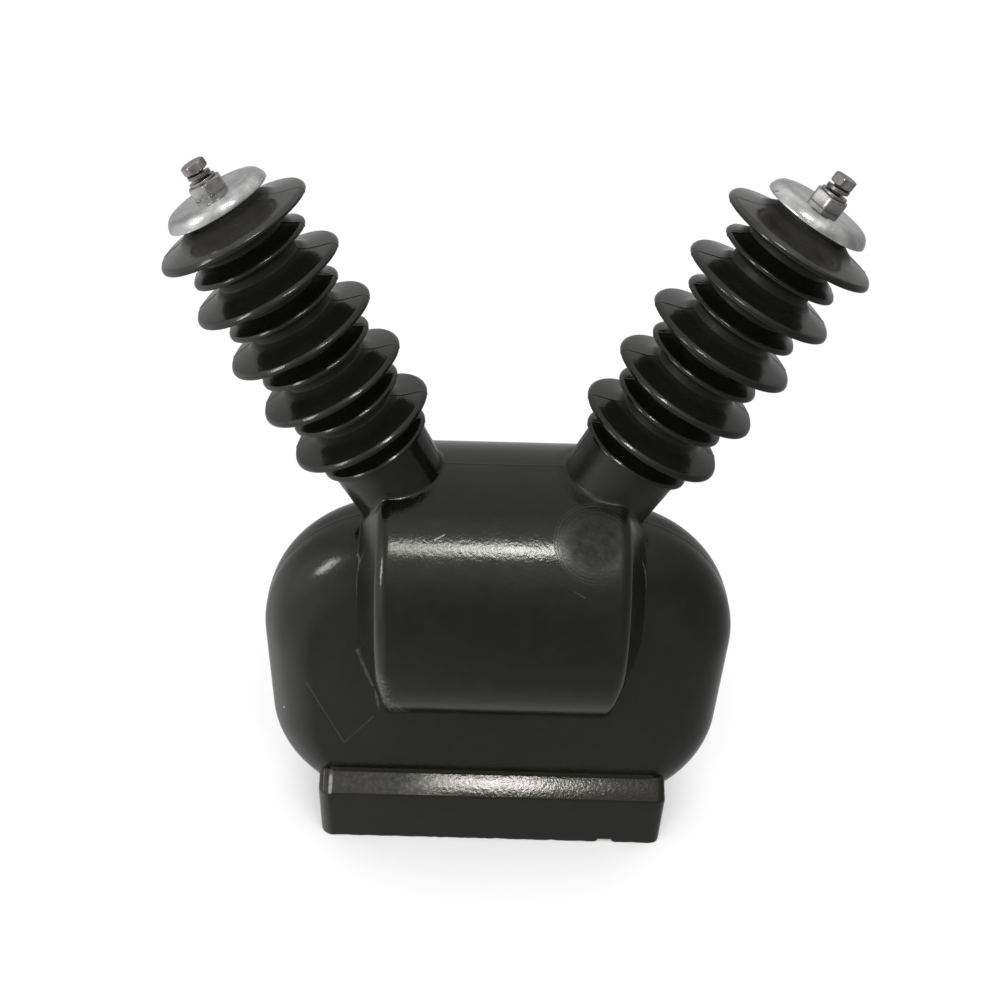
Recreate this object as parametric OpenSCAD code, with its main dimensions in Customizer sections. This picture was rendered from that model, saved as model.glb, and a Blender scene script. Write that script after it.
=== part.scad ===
// Outdoor cast-resin potential transformer, two-bushing form.
// Frame: millimetres, +X to the right, +Y to the rear, +Z up.
// Origin: centre of the plinth's flat underside.
// Both bushings lean outwards in the XZ plane, which is also the mould's parting plane.

/* [Plinth] */
// Width of the plinth along X
plinth_w = 262; // [240:1:280]
// Depth of the plinth along Y
plinth_d = 114; // [108:1:120]
// Height of the plinth's upright faces
plinth_h = 49; // [44:0.5:52]
// Height of the bevel above the upright faces
bevel_h = 8.9; // [8:0.1:14]
// Depth of the bevel along Y
bevel_d = 13.7; // [10:0.1:14]
// Radius of the plinth's upright corners
plinth_corner_r = 7; // [4:0.5:10]

/* [Core casing] */
// Half width of the casing around the iron core
casing_half_w = 166.5; // [162:0.5:174]
// Half thickness of the casing
casing_half_t = 42; // [40:0.5:44]
// Outline radius of the shoulders and of the lower corners
casing_r = 98; // [92:0.5:100]
// Height of the shoulder arcs' centre
shoulder_z = 173.5; // [165:0.5:180]
// Height of the lower arcs' centre
lower_z = 101; // [99:0.5:110]
// Radius along the front and rear edges of the casing
casing_edge_r = 36; // [30:0.5:38]

/* [Winding barrel] */
// Radius of the barrel cast around the windings
barrel_r = 95.5; // [92:0.5:98]
// Height of the barrel's axis
barrel_z = 215.3; // [210:0.1:218]
// Half length of the barrel's full-radius part
barrel_half_l = 78; // [76:0.5:84]
// Extra half length of the drafted end, out to its flat disc
barrel_draft_l = 17.5; // [12:0.5:20]
// Radius of the flat disc at the barrel's end
barrel_disc_r = 54; // [46:0.5:62]
// Rounding radius between the barrel and its drafted end
barrel_edge_r = 9.5; // [3:0.5:12]

/* [Bushings] */
// Lean of each bushing from upright, in degrees
lean = 28; // [26:0.5:30]
// Distance from the middle plane to the lowest large shed's centre
shed0_x = 93.3; // [90:0.1:96]
// Height of the lowest large shed's centre
shed0_z = 341.6; // [338:0.1:343]
// Spacing of the large sheds along the bushing
shed_pitch = 36.45; // [35:0.05:38]
// Radius of a large shed
shed_big_r = 48; // [44:0.5:50]
// Radius of a small shed
shed_small_r = 37.4; // [34:0.1:40]
// Radius of the bushing's core between the sheds
core_r = 26; // [22:0.5:28]
// Radius of the sheds' rounded rims
rim_r = 2.4; // [1.8:0.1:3]
// Radius of the neck just under the sheds
neck_r = 33.5; // [32:0.5:35]
// Radius of the neck deep in the barrel
neck_low_r = 31.5; // [30:0.5:33]

/* [Terminals] */
// Outer radius of the pressed terminal cap
cap_r = 32; // [30:0.1:32.5]
// Width across flats of the hexagonal terminal post
post_af = 19; // [17:0.5:20]
// Height of the hexagonal terminal post
post_h = 7.2; // [7:0.1:10]
// Thread diameter of the terminal bolt
bolt_d = 8; // [8:1:8]
// Width across flats of the terminal bolt's head
bolt_af = 13; // [13:1:13]

/* [Base fixing] */
// Spacing of the threaded inserts along X
insert_dx = 210; // [200:1:220]
// Spacing of the threaded inserts along Y
insert_dy = 76; // [70:1:80]
// Radius of the hole in each insert
insert_hole_r = 5.1; // [4.2:0.1:5.1]

/* [Secondary box] */
// Width of the secondary terminal box
box_w = 104; // [96:1:110]
// Height of the box's top above the ground
box_top_z = 106; // [96:1:110]
// Height of the box's underside above the ground
box_low_z = 14; // [10:1:20]
// Distance of the box's face behind the middle plane
box_face_y = 84; // [80:1:86]
// Thickness of the box's cover
cover_t = 3.5; // [3:0.5:4]
// Thickness of the gasket under the cover
gasket_t = 2; // [1.5:0.5:2.5]

/* [Hidden] */
$fn = 96;

cx = casing_half_w - casing_r;          // centre of the casing's corner arcs
neck_t = -22;                           // where the neck ends and the sheds begin, along the bushing
stub_t = 165.4;                         // top of the resin stub, along the bushing
stub_r = 22;
cap_low_t = 160.1;                      // lower lip of the cap
cap_top_t = 167.8;                      // flat crown of the cap
cap_wall = 1.2;                         // sheet thickness of the cap's wall
post_top_t = cap_top_t + post_h;
flat_t = 1.6;                           // flat washer thickness
spring_t = 2.1;                         // spring washer wire thickness
spring_free = 4.4;                      // spring washer free height, not tightened
head_t = 5.3;                           // bolt head height
head_gap = 0.2;                         // gap left between spring washer and head
resin = [0.16, 0.16, 0.15];
alu = [0.78, 0.79, 0.80];
steel = [0.66, 0.67, 0.68];

function axis_x(t) = shed0_x + t * sin(lean);
function axis_z(t) = shed0_z + t * cos(lean);

// Places a part that is drawn along +Z onto a bushing's axis; side is -1 or 1.
module on_axis(side, t = 0)
    translate([side * axis_x(t), 0, axis_z(t)]) rotate([0, side * lean, 0]) children();

module hexagon(af, h)
    cylinder(r = af / 2 / cos(30), h = h, $fn = 6);

// ---- casting ----

module plinth_outline() {
    r = plinth_corner_r;
    union() {
        square([plinth_w - 2 * r, plinth_d], center = true);
        square([plinth_w, plinth_d - 2 * r], center = true);
        for (sx = [-1, 1], sy = [-1, 1])
            translate([sx * (plinth_w / 2 - r), sy * (plinth_d / 2 - r)]) circle(r = r);
    }
}

module plinth() {
    linear_extrude(plinth_h) plinth_outline();
    intersection() {
        linear_extrude(plinth_h + bevel_h) plinth_outline();
        rotate([90, 0, 90]) linear_extrude(plinth_w + 10, center = true)
            polygon([[-plinth_d / 2, plinth_h - 5], [plinth_d / 2, plinth_h - 5],
                     [plinth_d / 2, plinth_h], [plinth_d / 2 - bevel_d, plinth_h + bevel_h],
                     [-plinth_d / 2 + bevel_d, plinth_h + bevel_h], [-plinth_d / 2, plinth_h]]);
    }
}

// Half section of the casing's rim: flat faces, then a rounded edge of casing_edge_r.
module casing_section(n = 9) {
    e = casing_edge_r;
    polygon(concat(
        [[0, -casing_half_t]],
        [for (i = [0:n]) let (a = -90 + 90 * i / n)
            [casing_r - e + e * cos(a), -casing_half_t + e + e * sin(a)]],
        [for (i = [0:n]) let (a = 90 * i / n)
            [casing_r - e + e * cos(a), casing_half_t - e + e * sin(a)]],
        [[0, casing_half_t]]));
}

module casing_side(side) {
    // upright stretch between the two arcs
    translate([side * cx, 0, lower_z]) mirror([side < 0 ? 1 : 0, 0, 0])
        linear_extrude(shoulder_z - lower_z) casing_section();
    // shoulder and lower corner, each a quarter turn about an axis along Y
    translate([side * cx, 0, shoulder_z]) mirror([side < 0 ? 1 : 0, 0, 0])
        rotate([90, 0, 0]) rotate_extrude(angle = 90) casing_section();
    translate([side * cx, 0, lower_z]) mirror([side < 0 ? 1 : 0, 0, 0])
        rotate([90, 0, 0]) rotate([0, 0, -90]) rotate_extrude(angle = 90) casing_section();
}

module casing() {
    casing_side(-1);
    casing_side(1);
    translate([-cx, -casing_half_t, lower_z - casing_r])
        cube([2 * cx, 2 * casing_half_t, shoulder_z - lower_z + 2 * casing_r]);
}

// Half outline of the barrel as [radius, distance from the middle] points, from the disc inwards.
function barrel_end(n = 8) = let (
        turn = atan2(barrel_r - barrel_disc_r, barrel_draft_l),
        back = barrel_edge_r * tan(turn / 2))
    concat([[0, barrel_half_l + barrel_draft_l], [barrel_disc_r, barrel_half_l + barrel_draft_l]],
        [for (i = [n:-1:0]) let (a = 90 - turn * i / n)
            [barrel_r - barrel_edge_r + barrel_edge_r * sin(a), barrel_half_l - back + barrel_edge_r * cos(a)]]);

module barrel() {
    right = barrel_end();
    left = [for (i = [len(right) - 1:-1:0]) [right[i][0], -right[i][1]]];
    translate([0, 0, barrel_z]) rotate([0, 90, 0]) rotate_extrude($fn = 144)
        polygon(concat(right, left));
}

module box_housing() {
    r = 6;
    y0 = 30;
    translate([0, (y0 + box_face_y) / 2, box_low_z]) linear_extrude(box_top_z - box_low_z)
        union() {
            square([box_w - 2 * r, box_face_y - y0], center = true);
            square([box_w, box_face_y - y0 - 2 * r], center = true);
            for (sx = [-1, 1], sy = [-1, 1])
                translate([sx * (box_w / 2 - r), sy * ((box_face_y - y0) / 2 - r)]) circle(r = r);
        }
}

screw_x = box_w / 2 - 8;
screw_z = [box_low_z + 8, box_top_z - 8];
insert_h = 24;
gland_y = 71;
gland_z = 42;
earth_x = -84;
earth_z = 24;

module body_casting() color(resin) difference() {
    union() {
        plinth();
        casing();
        barrel();
        for (side = [-1, 1]) on_axis(side, -95) cylinder(r1 = neck_low_r, r2 = neck_r, h = neck_t + 95);
        box_housing();
    }
    // pockets of the cast-in inserts
    for (sx = [-1, 1], sy = [-1, 1])
        translate([sx * insert_dx / 2, sy * insert_dy / 2, -1]) cylinder(r = 9, h = insert_h + 1);
    // screw holes of the box cover
    for (sx = [-1, 1], z = screw_z)
        translate([sx * screw_x, box_face_y - 12, z]) rotate([-90, 0, 0]) cylinder(r = 2.5, h = 13);
    // pocket of the gland in the side of the box
    translate([box_w / 2 - 10, gland_y, gland_z]) rotate([0, 90, 0]) cylinder(r = 10, h = 11);
    // pocket of the earth insert
    translate([earth_x, plinth_d / 2 - 20, earth_z]) rotate([-90, 0, 0]) cylinder(r = 7, h = 21);
}

// ---- bushings ----

// Rim, upper cone and lower cone of one shed, from its underside up, as [radius, height] points.
// The underside meets the core in a fillet of size f, which the lowest shed, close on the neck, does without.
function shed_points(t, r, up, down, f, n = 8) = concat(
    f > 0 ? [[core_r, t - down - f], [core_r + 0.09 * f, t - down - 0.59 * f], [core_r + 0.32 * f, t - down - 0.25 * f],
             [core_r + f, t - down + 0.08 * f]] : [],
    [for (i = [0:n]) let (a = -80 + 152 * i / n)
        [r - rim_r + rim_r * cos(a), t + rim_r * sin(a)]],
    [[core_r + 2.5, t + up - 0.6], [core_r, t + up + 1.8]]);

module bushing(side) color(resin)
    on_axis(side) rotate_extrude($fn = 144) polygon(concat(
        [[0, neck_t], [neck_r - 1.5, neck_t], [neck_r - 1.5, neck_t + 0.6]],
        [for (k = [0:4]) each concat(
            shed_points(shed_pitch * (k - 0.5) + 0.9, shed_small_r, 4.6, 3.4, k > 0 ? 4 : 0),
            shed_points(shed_pitch * k, shed_big_r, 6.4, 3.8, 6))],
        [[stub_r + 2, shed_pitch * 4 + 7.4], [stub_r, shed_pitch * 4 + 9], [stub_r, stub_t - 1], [stub_r - 1, stub_t], [0, stub_t]]));

module left_bushing() bushing(-1);
module right_bushing() bushing(1);

// ---- terminals ----

// A pressed dish: a sharp lower lip, a slightly drawn-in wall, a rounded shoulder and a nearly flat crown.
module terminal_cap(side) color(alu)
    on_axis(side) rotate_extrude($fn = 144) polygon(concat(
        [[4.2, stub_t], [stub_r + 3, stub_t], [cap_r - 4.6, stub_t - 0.3], [cap_r - cap_wall - 1.1, stub_t - 2.2],
         [cap_r - cap_wall - 0.3, cap_low_t + 1], [cap_r - cap_wall, cap_low_t], [cap_r, cap_low_t], [cap_r, cap_low_t + 0.9]],
        [for (a = [10:10:80])
            [cap_r * pow(cos(a), 1 / 6), cap_low_t + 0.9 + (cap_top_t - cap_low_t - 0.9) * pow(sin(a), 1.667)]],
        [[16, cap_top_t], [4.2, cap_top_t]]));

module left_terminal_cap() terminal_cap(-1);
module right_terminal_cap() terminal_cap(1);

module terminal_post(side) color(steel)
    on_axis(side, cap_top_t) difference() {
        intersection() {
            hexagon(post_af, post_h);
            rotate_extrude() polygon([[0, 0], [post_af / 2 / cos(30) + 0.2, 0], [post_af / 2 / cos(30) + 0.2, post_h - 1.1],
                                      [post_af / 2 - 0.2, post_h], [0, post_h]]);
        }
        translate([0, 0, -1]) cylinder(r = 4.1, h = post_h + 2);
    }

module left_terminal_post() terminal_post(-1);
module right_terminal_post() terminal_post(1);

module ring(ro, ri, h) difference() {
    cylinder(r = ro, h = h);
    translate([0, 0, -1]) cylinder(r = ri, h = h + 2);
}

// Spring washer as one open turn of square wire, its ends apart by the free height.
module spring_ring(ro, ri, h, free, start = 40, n = 32) {
    turn = 346;
    pts = [for (i = [0:n]) let (a = start + turn * i / n, z = (free - h) * i / n)
        each [[ri * cos(a), ri * sin(a), z], [ro * cos(a), ro * sin(a), z],
              [ro * cos(a), ro * sin(a), z + h], [ri * cos(a), ri * sin(a), z + h]]];
    sides = [for (i = [0:n - 1], k = [0:3]) [4 * i + k, 4 * (i + 1) + k, 4 * (i + 1) + (k + 1) % 4, 4 * i + (k + 1) % 4]];
    polyhedron(points = pts, faces = concat([[0, 1, 2, 3]], sides, [[4 * n + 3, 4 * n + 2, 4 * n + 1, 4 * n]]), convexity = 4);
}

module left_flat_washer() color(steel) on_axis(-1, post_top_t) ring(8, 4.2, flat_t);
module right_flat_washer() color(steel) on_axis(1, post_top_t) ring(8, 4.2, flat_t);
module left_spring_washer() color(steel) on_axis(-1, post_top_t + flat_t) spring_ring(6.7, 4.2, spring_t, spring_free);
module right_spring_washer() color(steel) on_axis(1, post_top_t + flat_t) spring_ring(6.7, 4.2, spring_t, spring_free);

// Hexagon-head bolt drawn from its tip up; grip is the length under the head.
module hex_bolt(d, grip, af, h) {
    difference() {
        union() {
            translate([0, 0, -grip]) cylinder(r = d / 2 - 0.05, h = grip);
            intersection() {
                hexagon(af, h);
                rotate_extrude() polygon([[0, 0], [af / 2 - 0.1, 0], [af / 2 / cos(30) + 0.1, 0.8], [af / 2 / cos(30) + 0.1, h - 1.0],
                                          [af / 2 - 0.3, h], [0, h]]);
            }
        }
    }
}

bolt_head_t = post_top_t + flat_t + spring_free + head_gap;
module left_terminal_bolt() color(steel) on_axis(-1, bolt_head_t) hex_bolt(bolt_d, bolt_head_t - stub_t, bolt_af, head_t);
module right_terminal_bolt() color(steel) on_axis(1, bolt_head_t) hex_bolt(bolt_d, bolt_head_t - stub_t, bolt_af, head_t);

// ---- base ----

module base_inserts() color("goldenrod")
    for (sx = [-1, 1], sy = [-1, 1])
        translate([sx * insert_dx / 2, sy * insert_dy / 2, 0]) difference() {
            cylinder(r = 9, h = insert_h);
            translate([0, 0, -1]) cylinder(r = insert_hole_r, h = 21);
        }

// ---- secondary box ----

module cover_plate(w, h, t, r) {
    rotate([-90, 0, 0]) linear_extrude(t) union() {
        square([w - 2 * r, h], center = true);
        square([w, h - 2 * r], center = true);
        for (sx = [-1, 1], sy = [-1, 1]) translate([sx * (w / 2 - r), sy * (h / 2 - r)]) circle(r = r);
    }
}

box_mid_z = (box_low_z + box_top_z) / 2;
module screw_cuts(r) for (sx = [-1, 1], z = screw_z)
    translate([sx * screw_x, box_face_y - 2, z]) rotate([-90, 0, 0]) cylinder(r = r, h = 12);

module box_gasket() color([0.08, 0.08, 0.08]) difference() {
    translate([0, box_face_y, box_mid_z]) cover_plate(box_w - 1, box_top_z - box_low_z - 1, gasket_t, 5);
    screw_cuts(2.7);
}

module box_cover() color(alu) difference() {
    union() {
        translate([0, box_face_y + gasket_t, box_mid_z]) cover_plate(box_w + 2, box_top_z - box_low_z + 2, cover_t, 7);
        translate([0, box_face_y + gasket_t + cover_t - 1, box_mid_z]) cover_plate(box_w - 30, box_top_z - box_low_z - 30, 3, 6);
    }
    screw_cuts(2.7);
}

module cover_screws() color(steel) for (sx = [-1, 1], z = screw_z)
    translate([sx * screw_x, box_face_y + gasket_t + cover_t, z]) rotate([-90, 0, 0]) difference() {
        union() {
            translate([0, 0, -gasket_t - cover_t - 10]) cylinder(r = 2.45, h = gasket_t + cover_t + 10.5);
            rotate_extrude() polygon([[0, 0], [4.6, 0], [4.6, 1.2], [4.1, 2.2], [2.8, 3.0], [1.4, 3.3], [0, 3.3]]);
        }
        translate([-5, -0.6, 1.9]) cube([10, 1.2, 3]);
    }

// ---- cable gland ----

module on_gland(x = 0) translate([box_w / 2 + x, gland_y, gland_z]) rotate([0, 90, 0]) children();

module gland_body() color([0.1, 0.1, 0.1]) on_gland() difference() {
    union() {
        translate([0, 0, -9]) cylinder(r = 9.9, h = 9.5);
        intersection() {
            hexagon(24, 6);
            rotate_extrude() polygon([[0, 0], [13.9, 0], [13.9, 5.2], [12.2, 6], [0, 6]]);
        }
        cylinder(r = 9.4, h = 12);
    }
    translate([0, 0, -4]) cylinder(r = 6.5, h = 20);
}

module gland_nut() color([0.1, 0.1, 0.1]) on_gland(6.2) difference() {
    intersection() {
        hexagon(22, 15);
        rotate_extrude() polygon([[0, 0], [12.75, 0], [12.75, 8.5], [11, 12.5], [8.6, 15], [0, 15]]);
    }
    translate([0, 0, -1]) cylinder(r = 9.5, h = 8);
    translate([0, 0, -1]) cylinder(r = 6.8, h = 18);
}

module gland_seal() color([0.05, 0.05, 0.05]) on_gland(-3.9) difference() {
    cylinder(r = 6.4, h = 24);
    translate([0, 0, -1]) cylinder(r = 4.5, h = 26);
}

// ---- earth terminal ----

module on_earth(y = 0) translate([earth_x, plinth_d / 2 + y, earth_z]) rotate([-90, 0, 0]) children();

module earth_insert() color("goldenrod") on_earth(-20) difference() {
    cylinder(r = 7, h = 21);
    translate([0, 0, 2]) cylinder(r = 4.1, h = 20);
}
module earth_flat_washer() color(steel) on_earth(1) ring(8, 4.2, 1.6);
module earth_spring_washer() color(steel) on_earth(2.6) spring_ring(6.7, 4.2, 2.1, 2.15);
module earth_bolt() color(steel) on_earth(4.8) hex_bolt(8, 20, 13, 5.3);

// ---- rating plate ----

plate_w = 84;
plate_a = 15;
plate_mid_a = 8;
// A curved plate lying on the rear of the barrel, from plate_mid_a - plate_a to plate_mid_a + plate_a.
module rating_plate() color(alu)
    translate([0, 0, barrel_z]) rotate([0, 90, 0])
        rotate([0, 0, 90 + plate_mid_a - plate_a]) rotate_extrude(angle = 2 * plate_a, $fn = 144)
            translate([barrel_r, -plate_w / 2]) square([0.8, plate_w]);

module plate_rivets() color(alu)
    for (sx = [-1, 1], a = [plate_mid_a - plate_a + 2.4, plate_mid_a + plate_a - 2.4])
        translate([sx * (plate_w / 2 - 4), 0, barrel_z]) rotate([a, 0, 0])
            translate([0, barrel_r + 0.8, 0]) rotate([-90, 0, 0])
                rotate_extrude() polygon([[0, 0], [2.6, 0], [2.3, 0.7], [1.4, 1.2], [0, 1.35]]);

body_casting();
left_bushing();
right_bushing();
left_terminal_cap();
right_terminal_cap();
left_terminal_post();
right_terminal_post();
left_flat_washer();
right_flat_washer();
left_spring_washer();
right_spring_washer();
left_terminal_bolt();
right_terminal_bolt();
base_inserts();
box_gasket();
box_cover();
cover_screws();
gland_body();
gland_nut();
gland_seal();
earth_insert();
earth_flat_washer();
earth_spring_washer();
earth_bolt();
rating_plate();
plate_rivets();
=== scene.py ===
import bpy, math
import numpy as np
from mathutils import Matrix, Vector


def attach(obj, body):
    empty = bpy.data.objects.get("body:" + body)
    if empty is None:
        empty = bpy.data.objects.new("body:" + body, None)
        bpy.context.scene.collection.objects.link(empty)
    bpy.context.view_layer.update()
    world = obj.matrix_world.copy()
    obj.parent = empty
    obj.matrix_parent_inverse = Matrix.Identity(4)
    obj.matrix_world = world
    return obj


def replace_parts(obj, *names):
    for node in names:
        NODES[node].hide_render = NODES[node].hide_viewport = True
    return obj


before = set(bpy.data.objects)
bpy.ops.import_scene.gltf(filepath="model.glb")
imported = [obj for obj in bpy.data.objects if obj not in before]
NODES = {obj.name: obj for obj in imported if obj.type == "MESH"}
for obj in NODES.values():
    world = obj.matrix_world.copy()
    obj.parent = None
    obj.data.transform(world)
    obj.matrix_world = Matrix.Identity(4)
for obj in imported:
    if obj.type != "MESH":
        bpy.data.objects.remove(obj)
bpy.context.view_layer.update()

MM = 0.001
rng = np.random.default_rng(7)

# ------------------------------------------------------------------ dimensions, in millimetres
LEAN = math.radians(28)
SHED0_X, SHED0_Z, PITCH = 93.3, 341.6, 36.45
BIG_R, SMALL_R, CORE_R, RIM_R = 48.0, 37.4, 26.0, 2.4
NECK_T, STUB_T = -22.0, 165.4
CAP_T, POST_T = 167.8, 175.0
BARREL_Z, BARREL_R = 215.3, 95.5


def mesh_object(name, verts, faces, mat, smooth=True, angle=None, normals=None, scale=MM):
    """A mesh piece in metres from millimetre vertices; faces is a list or an (n, 4) array."""
    me = bpy.data.meshes.new(name)
    v = np.asarray(verts, float) * scale
    if isinstance(faces, np.ndarray):
        n, k = faces.shape
        me.vertices.add(len(v)); me.vertices.foreach_set("co", v.astype(np.float32).ravel())
        me.loops.add(n * k); me.loops.foreach_set("vertex_index", faces.astype(np.int32).ravel())
        me.polygons.add(n)
        me.polygons.foreach_set("loop_start", np.arange(0, n * k, k, dtype=np.int32))
        me.polygons.foreach_set("loop_total", np.full(n, k, dtype=np.int32))
        me.update(calc_edges=True)
    else:
        me.from_pydata([tuple(p) for p in v], [], [tuple(int(i) for i in f) for f in faces])
    me.validate()
    me.polygons.foreach_set("use_smooth", np.full(len(me.polygons), smooth))
    if angle is not None:
        me.set_sharp_from_angle(angle=math.radians(angle))
    if normals is not None:
        if len(normals) == len(me.loops):
            me.normals_split_custom_set(normals.tolist())
        else:
            me.normals_split_custom_set_from_vertices(normals.tolist())
    me.materials.append(mat)
    ob = bpy.data.objects.new(name, me)
    bpy.context.scene.collection.objects.link(ob)
    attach(ob, "root")
    return ob


def grid_faces(rows, cols, wrap_cols=True, wrap_rows=False, flip=False):
    r = np.arange(rows if wrap_rows else rows - 1)
    c = np.arange(cols if wrap_cols else cols - 1)
    R, C = np.meshgrid(r, c, indexing="ij")
    R2, C2 = (R + 1) % rows, (C + 1) % cols
    f = np.stack([R * cols + C, R * cols + C2, R2 * cols + C2, R2 * cols + C], -1).reshape(-1, 4)
    return f[:, ::-1] if flip else f


def on_axis(p, side):
    """Points drawn along +Z (t) moved onto a bushing's axis."""
    p = np.asarray(p, float)
    s, c = math.sin(LEAN), math.cos(LEAN)
    x = SHED0_X + p[:, 2] * s + p[:, 0] * c
    z = SHED0_Z + p[:, 2] * c - p[:, 0] * s
    return np.stack([side * x, p[:, 1] * (1 if side > 0 else 1), z], 1)


def revolve(profile, n=160, angles=None, close=True):
    """Rings of a lathe about +Z from [radius, height] points; the ends are left open."""
    prof = np.asarray(profile, float)
    a = np.linspace(0, 2 * math.pi, n, endpoint=False) if angles is None else np.asarray(angles)
    m = len(a)
    v = np.stack([prof[:, None, 0] * np.cos(a)[None], prof[:, None, 0] * np.sin(a)[None], np.repeat(prof[:, None, 1], m, 1)], -1)
    return v, a


# ------------------------------------------------------------------ signed distance of the casting
def smin(a, b, k):
    h = np.maximum(k - np.abs(a - b), 0) / k
    return np.minimum(a, b) - h * h * k * 0.25


def smax(a, b, k):
    return -smin(-a, -b, k)


def round_and(a, b, c, r):
    """Intersection of two half spaces whose normals have dot product c, with the edge rounded to radius r."""
    a = a + r; b = b + r
    apex = (a > c * b) & (b > c * a) & ((a > 0) | (b > 0))
    q = np.sqrt(np.maximum(a * a + b * b - 2 * a * b * c, 0) / (1 - c * c))
    return np.where(apex, q, np.maximum(a, b)) - r


def round_box(px, py, pz, hx, hy, hz, r):
    qx, qy, qz = np.abs(px) - hx + r, np.abs(py) - hy + r, np.abs(pz) - hz + r
    out = np.sqrt(np.maximum(qx, 0) ** 2 + np.maximum(qy, 0) ** 2 + np.maximum(qz, 0) ** 2)
    return out + np.minimum(np.maximum(qx, np.maximum(qy, qz)), 0) - r


def seam(y, height=0.35, width=0.5):
    return height * np.exp(-(y / width) ** 2)


def sd_casing(x, y, z):
    ax, ay = np.abs(x), np.abs(y)
    qx, qz = ax - 68.5, np.abs(z - 137.25) - 36.25
    d2 = np.sqrt(np.maximum(qx, 0) ** 2 + np.maximum(qz, 0) ** 2) + np.minimum(np.maximum(qx, qz), 0) - 98.0
    w0, w1 = d2 + 36.0, ay - 6.0
    return np.sqrt(np.maximum(w0, 0) ** 2 + np.maximum(w1, 0) ** 2) + np.minimum(np.maximum(w0, w1), 0) - 36.0


def sd_barrel(x, y, z):
    ax = np.abs(x)
    r = np.sqrt(y * y + (z - BARREL_Z) ** 2)
    # drafted end: cone from (78, 95.5) to (95.5, 54), then the disc
    cone = (ax - 78.0) * 0.92143 + (r - 95.5) * 0.38855
    d = round_and(r - 95.5, cone, 0.38855, 9.0)
    d = smax(d, ax - 95.5 + 0.012 * np.abs(z - BARREL_Z), 3.0)
    # draft facet over the lower quarter of the end
    facet = (ax - 97.3) * 0.8885 + (np.abs(y) - 42.0) * 0.3998 - (z - 182.0) * 0.2251
    return smax(d, facet, 2.0)


def sd_neck(x, y, z):
    ax = np.abs(x)
    s, c = math.sin(LEAN), math.cos(LEAN)
    dx, dz = ax - SHED0_X, z - SHED0_Z
    t = dx * s + dz * c
    u = dx * c - dz * s
    rad = np.sqrt(u * u + y * y)
    rr = 31.5 + (t + 95.0) * (2.0 / 73.0)
    return np.maximum(np.maximum((rad - rr) * 0.9996, t - NECK_T - 4.2), -95.0 - t)


def sd_casting(x, y, z):
    bead = seam(y)
    d = sd_casing(x, y, z) - bead
    d = smin(d, sd_barrel(x, y, z) - bead * 1.1, 0.25)
    d = smin(d, sd_neck(x, y, z) - bead * 0.9, 1.6)
    d = smin(d, round_box(x, y, z - 39.0, 121.0, 43.0, 18.95, 0.5), 3.0)
    d = smin(d, round_box(x, y, z - 30.0, 130.6, 44.0, 17.0, 2.0), 3.0)
    d = smin(d, round_box(x, y - 57.0, z - 60.0, 51.7, 26.7, 45.7, 5.0), 6.0)
    return np.maximum(d, 6.0 - z)


def gradient(fn, p, h=0.04):
    g = np.empty_like(p)
    for i in range(3):
        o = np.zeros(3); o[i] = h
        a, b = p + o, p - o
        g[:, i] = (fn(a[:, 0], a[:, 1], a[:, 2]) - fn(b[:, 0], b[:, 1], b[:, 2])) / (2 * h)
    return g


def axis_points(segments):
    """Grid coordinates from [(from, to, step), ...] joined end to end."""
    out = []
    for a, b, step in segments:
        n = max(1, int(round((b - a) / step)))
        out.extend(np.linspace(a, b, n, endpoint=False))
    out.append(segments[-1][1])
    return np.array(out)


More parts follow.
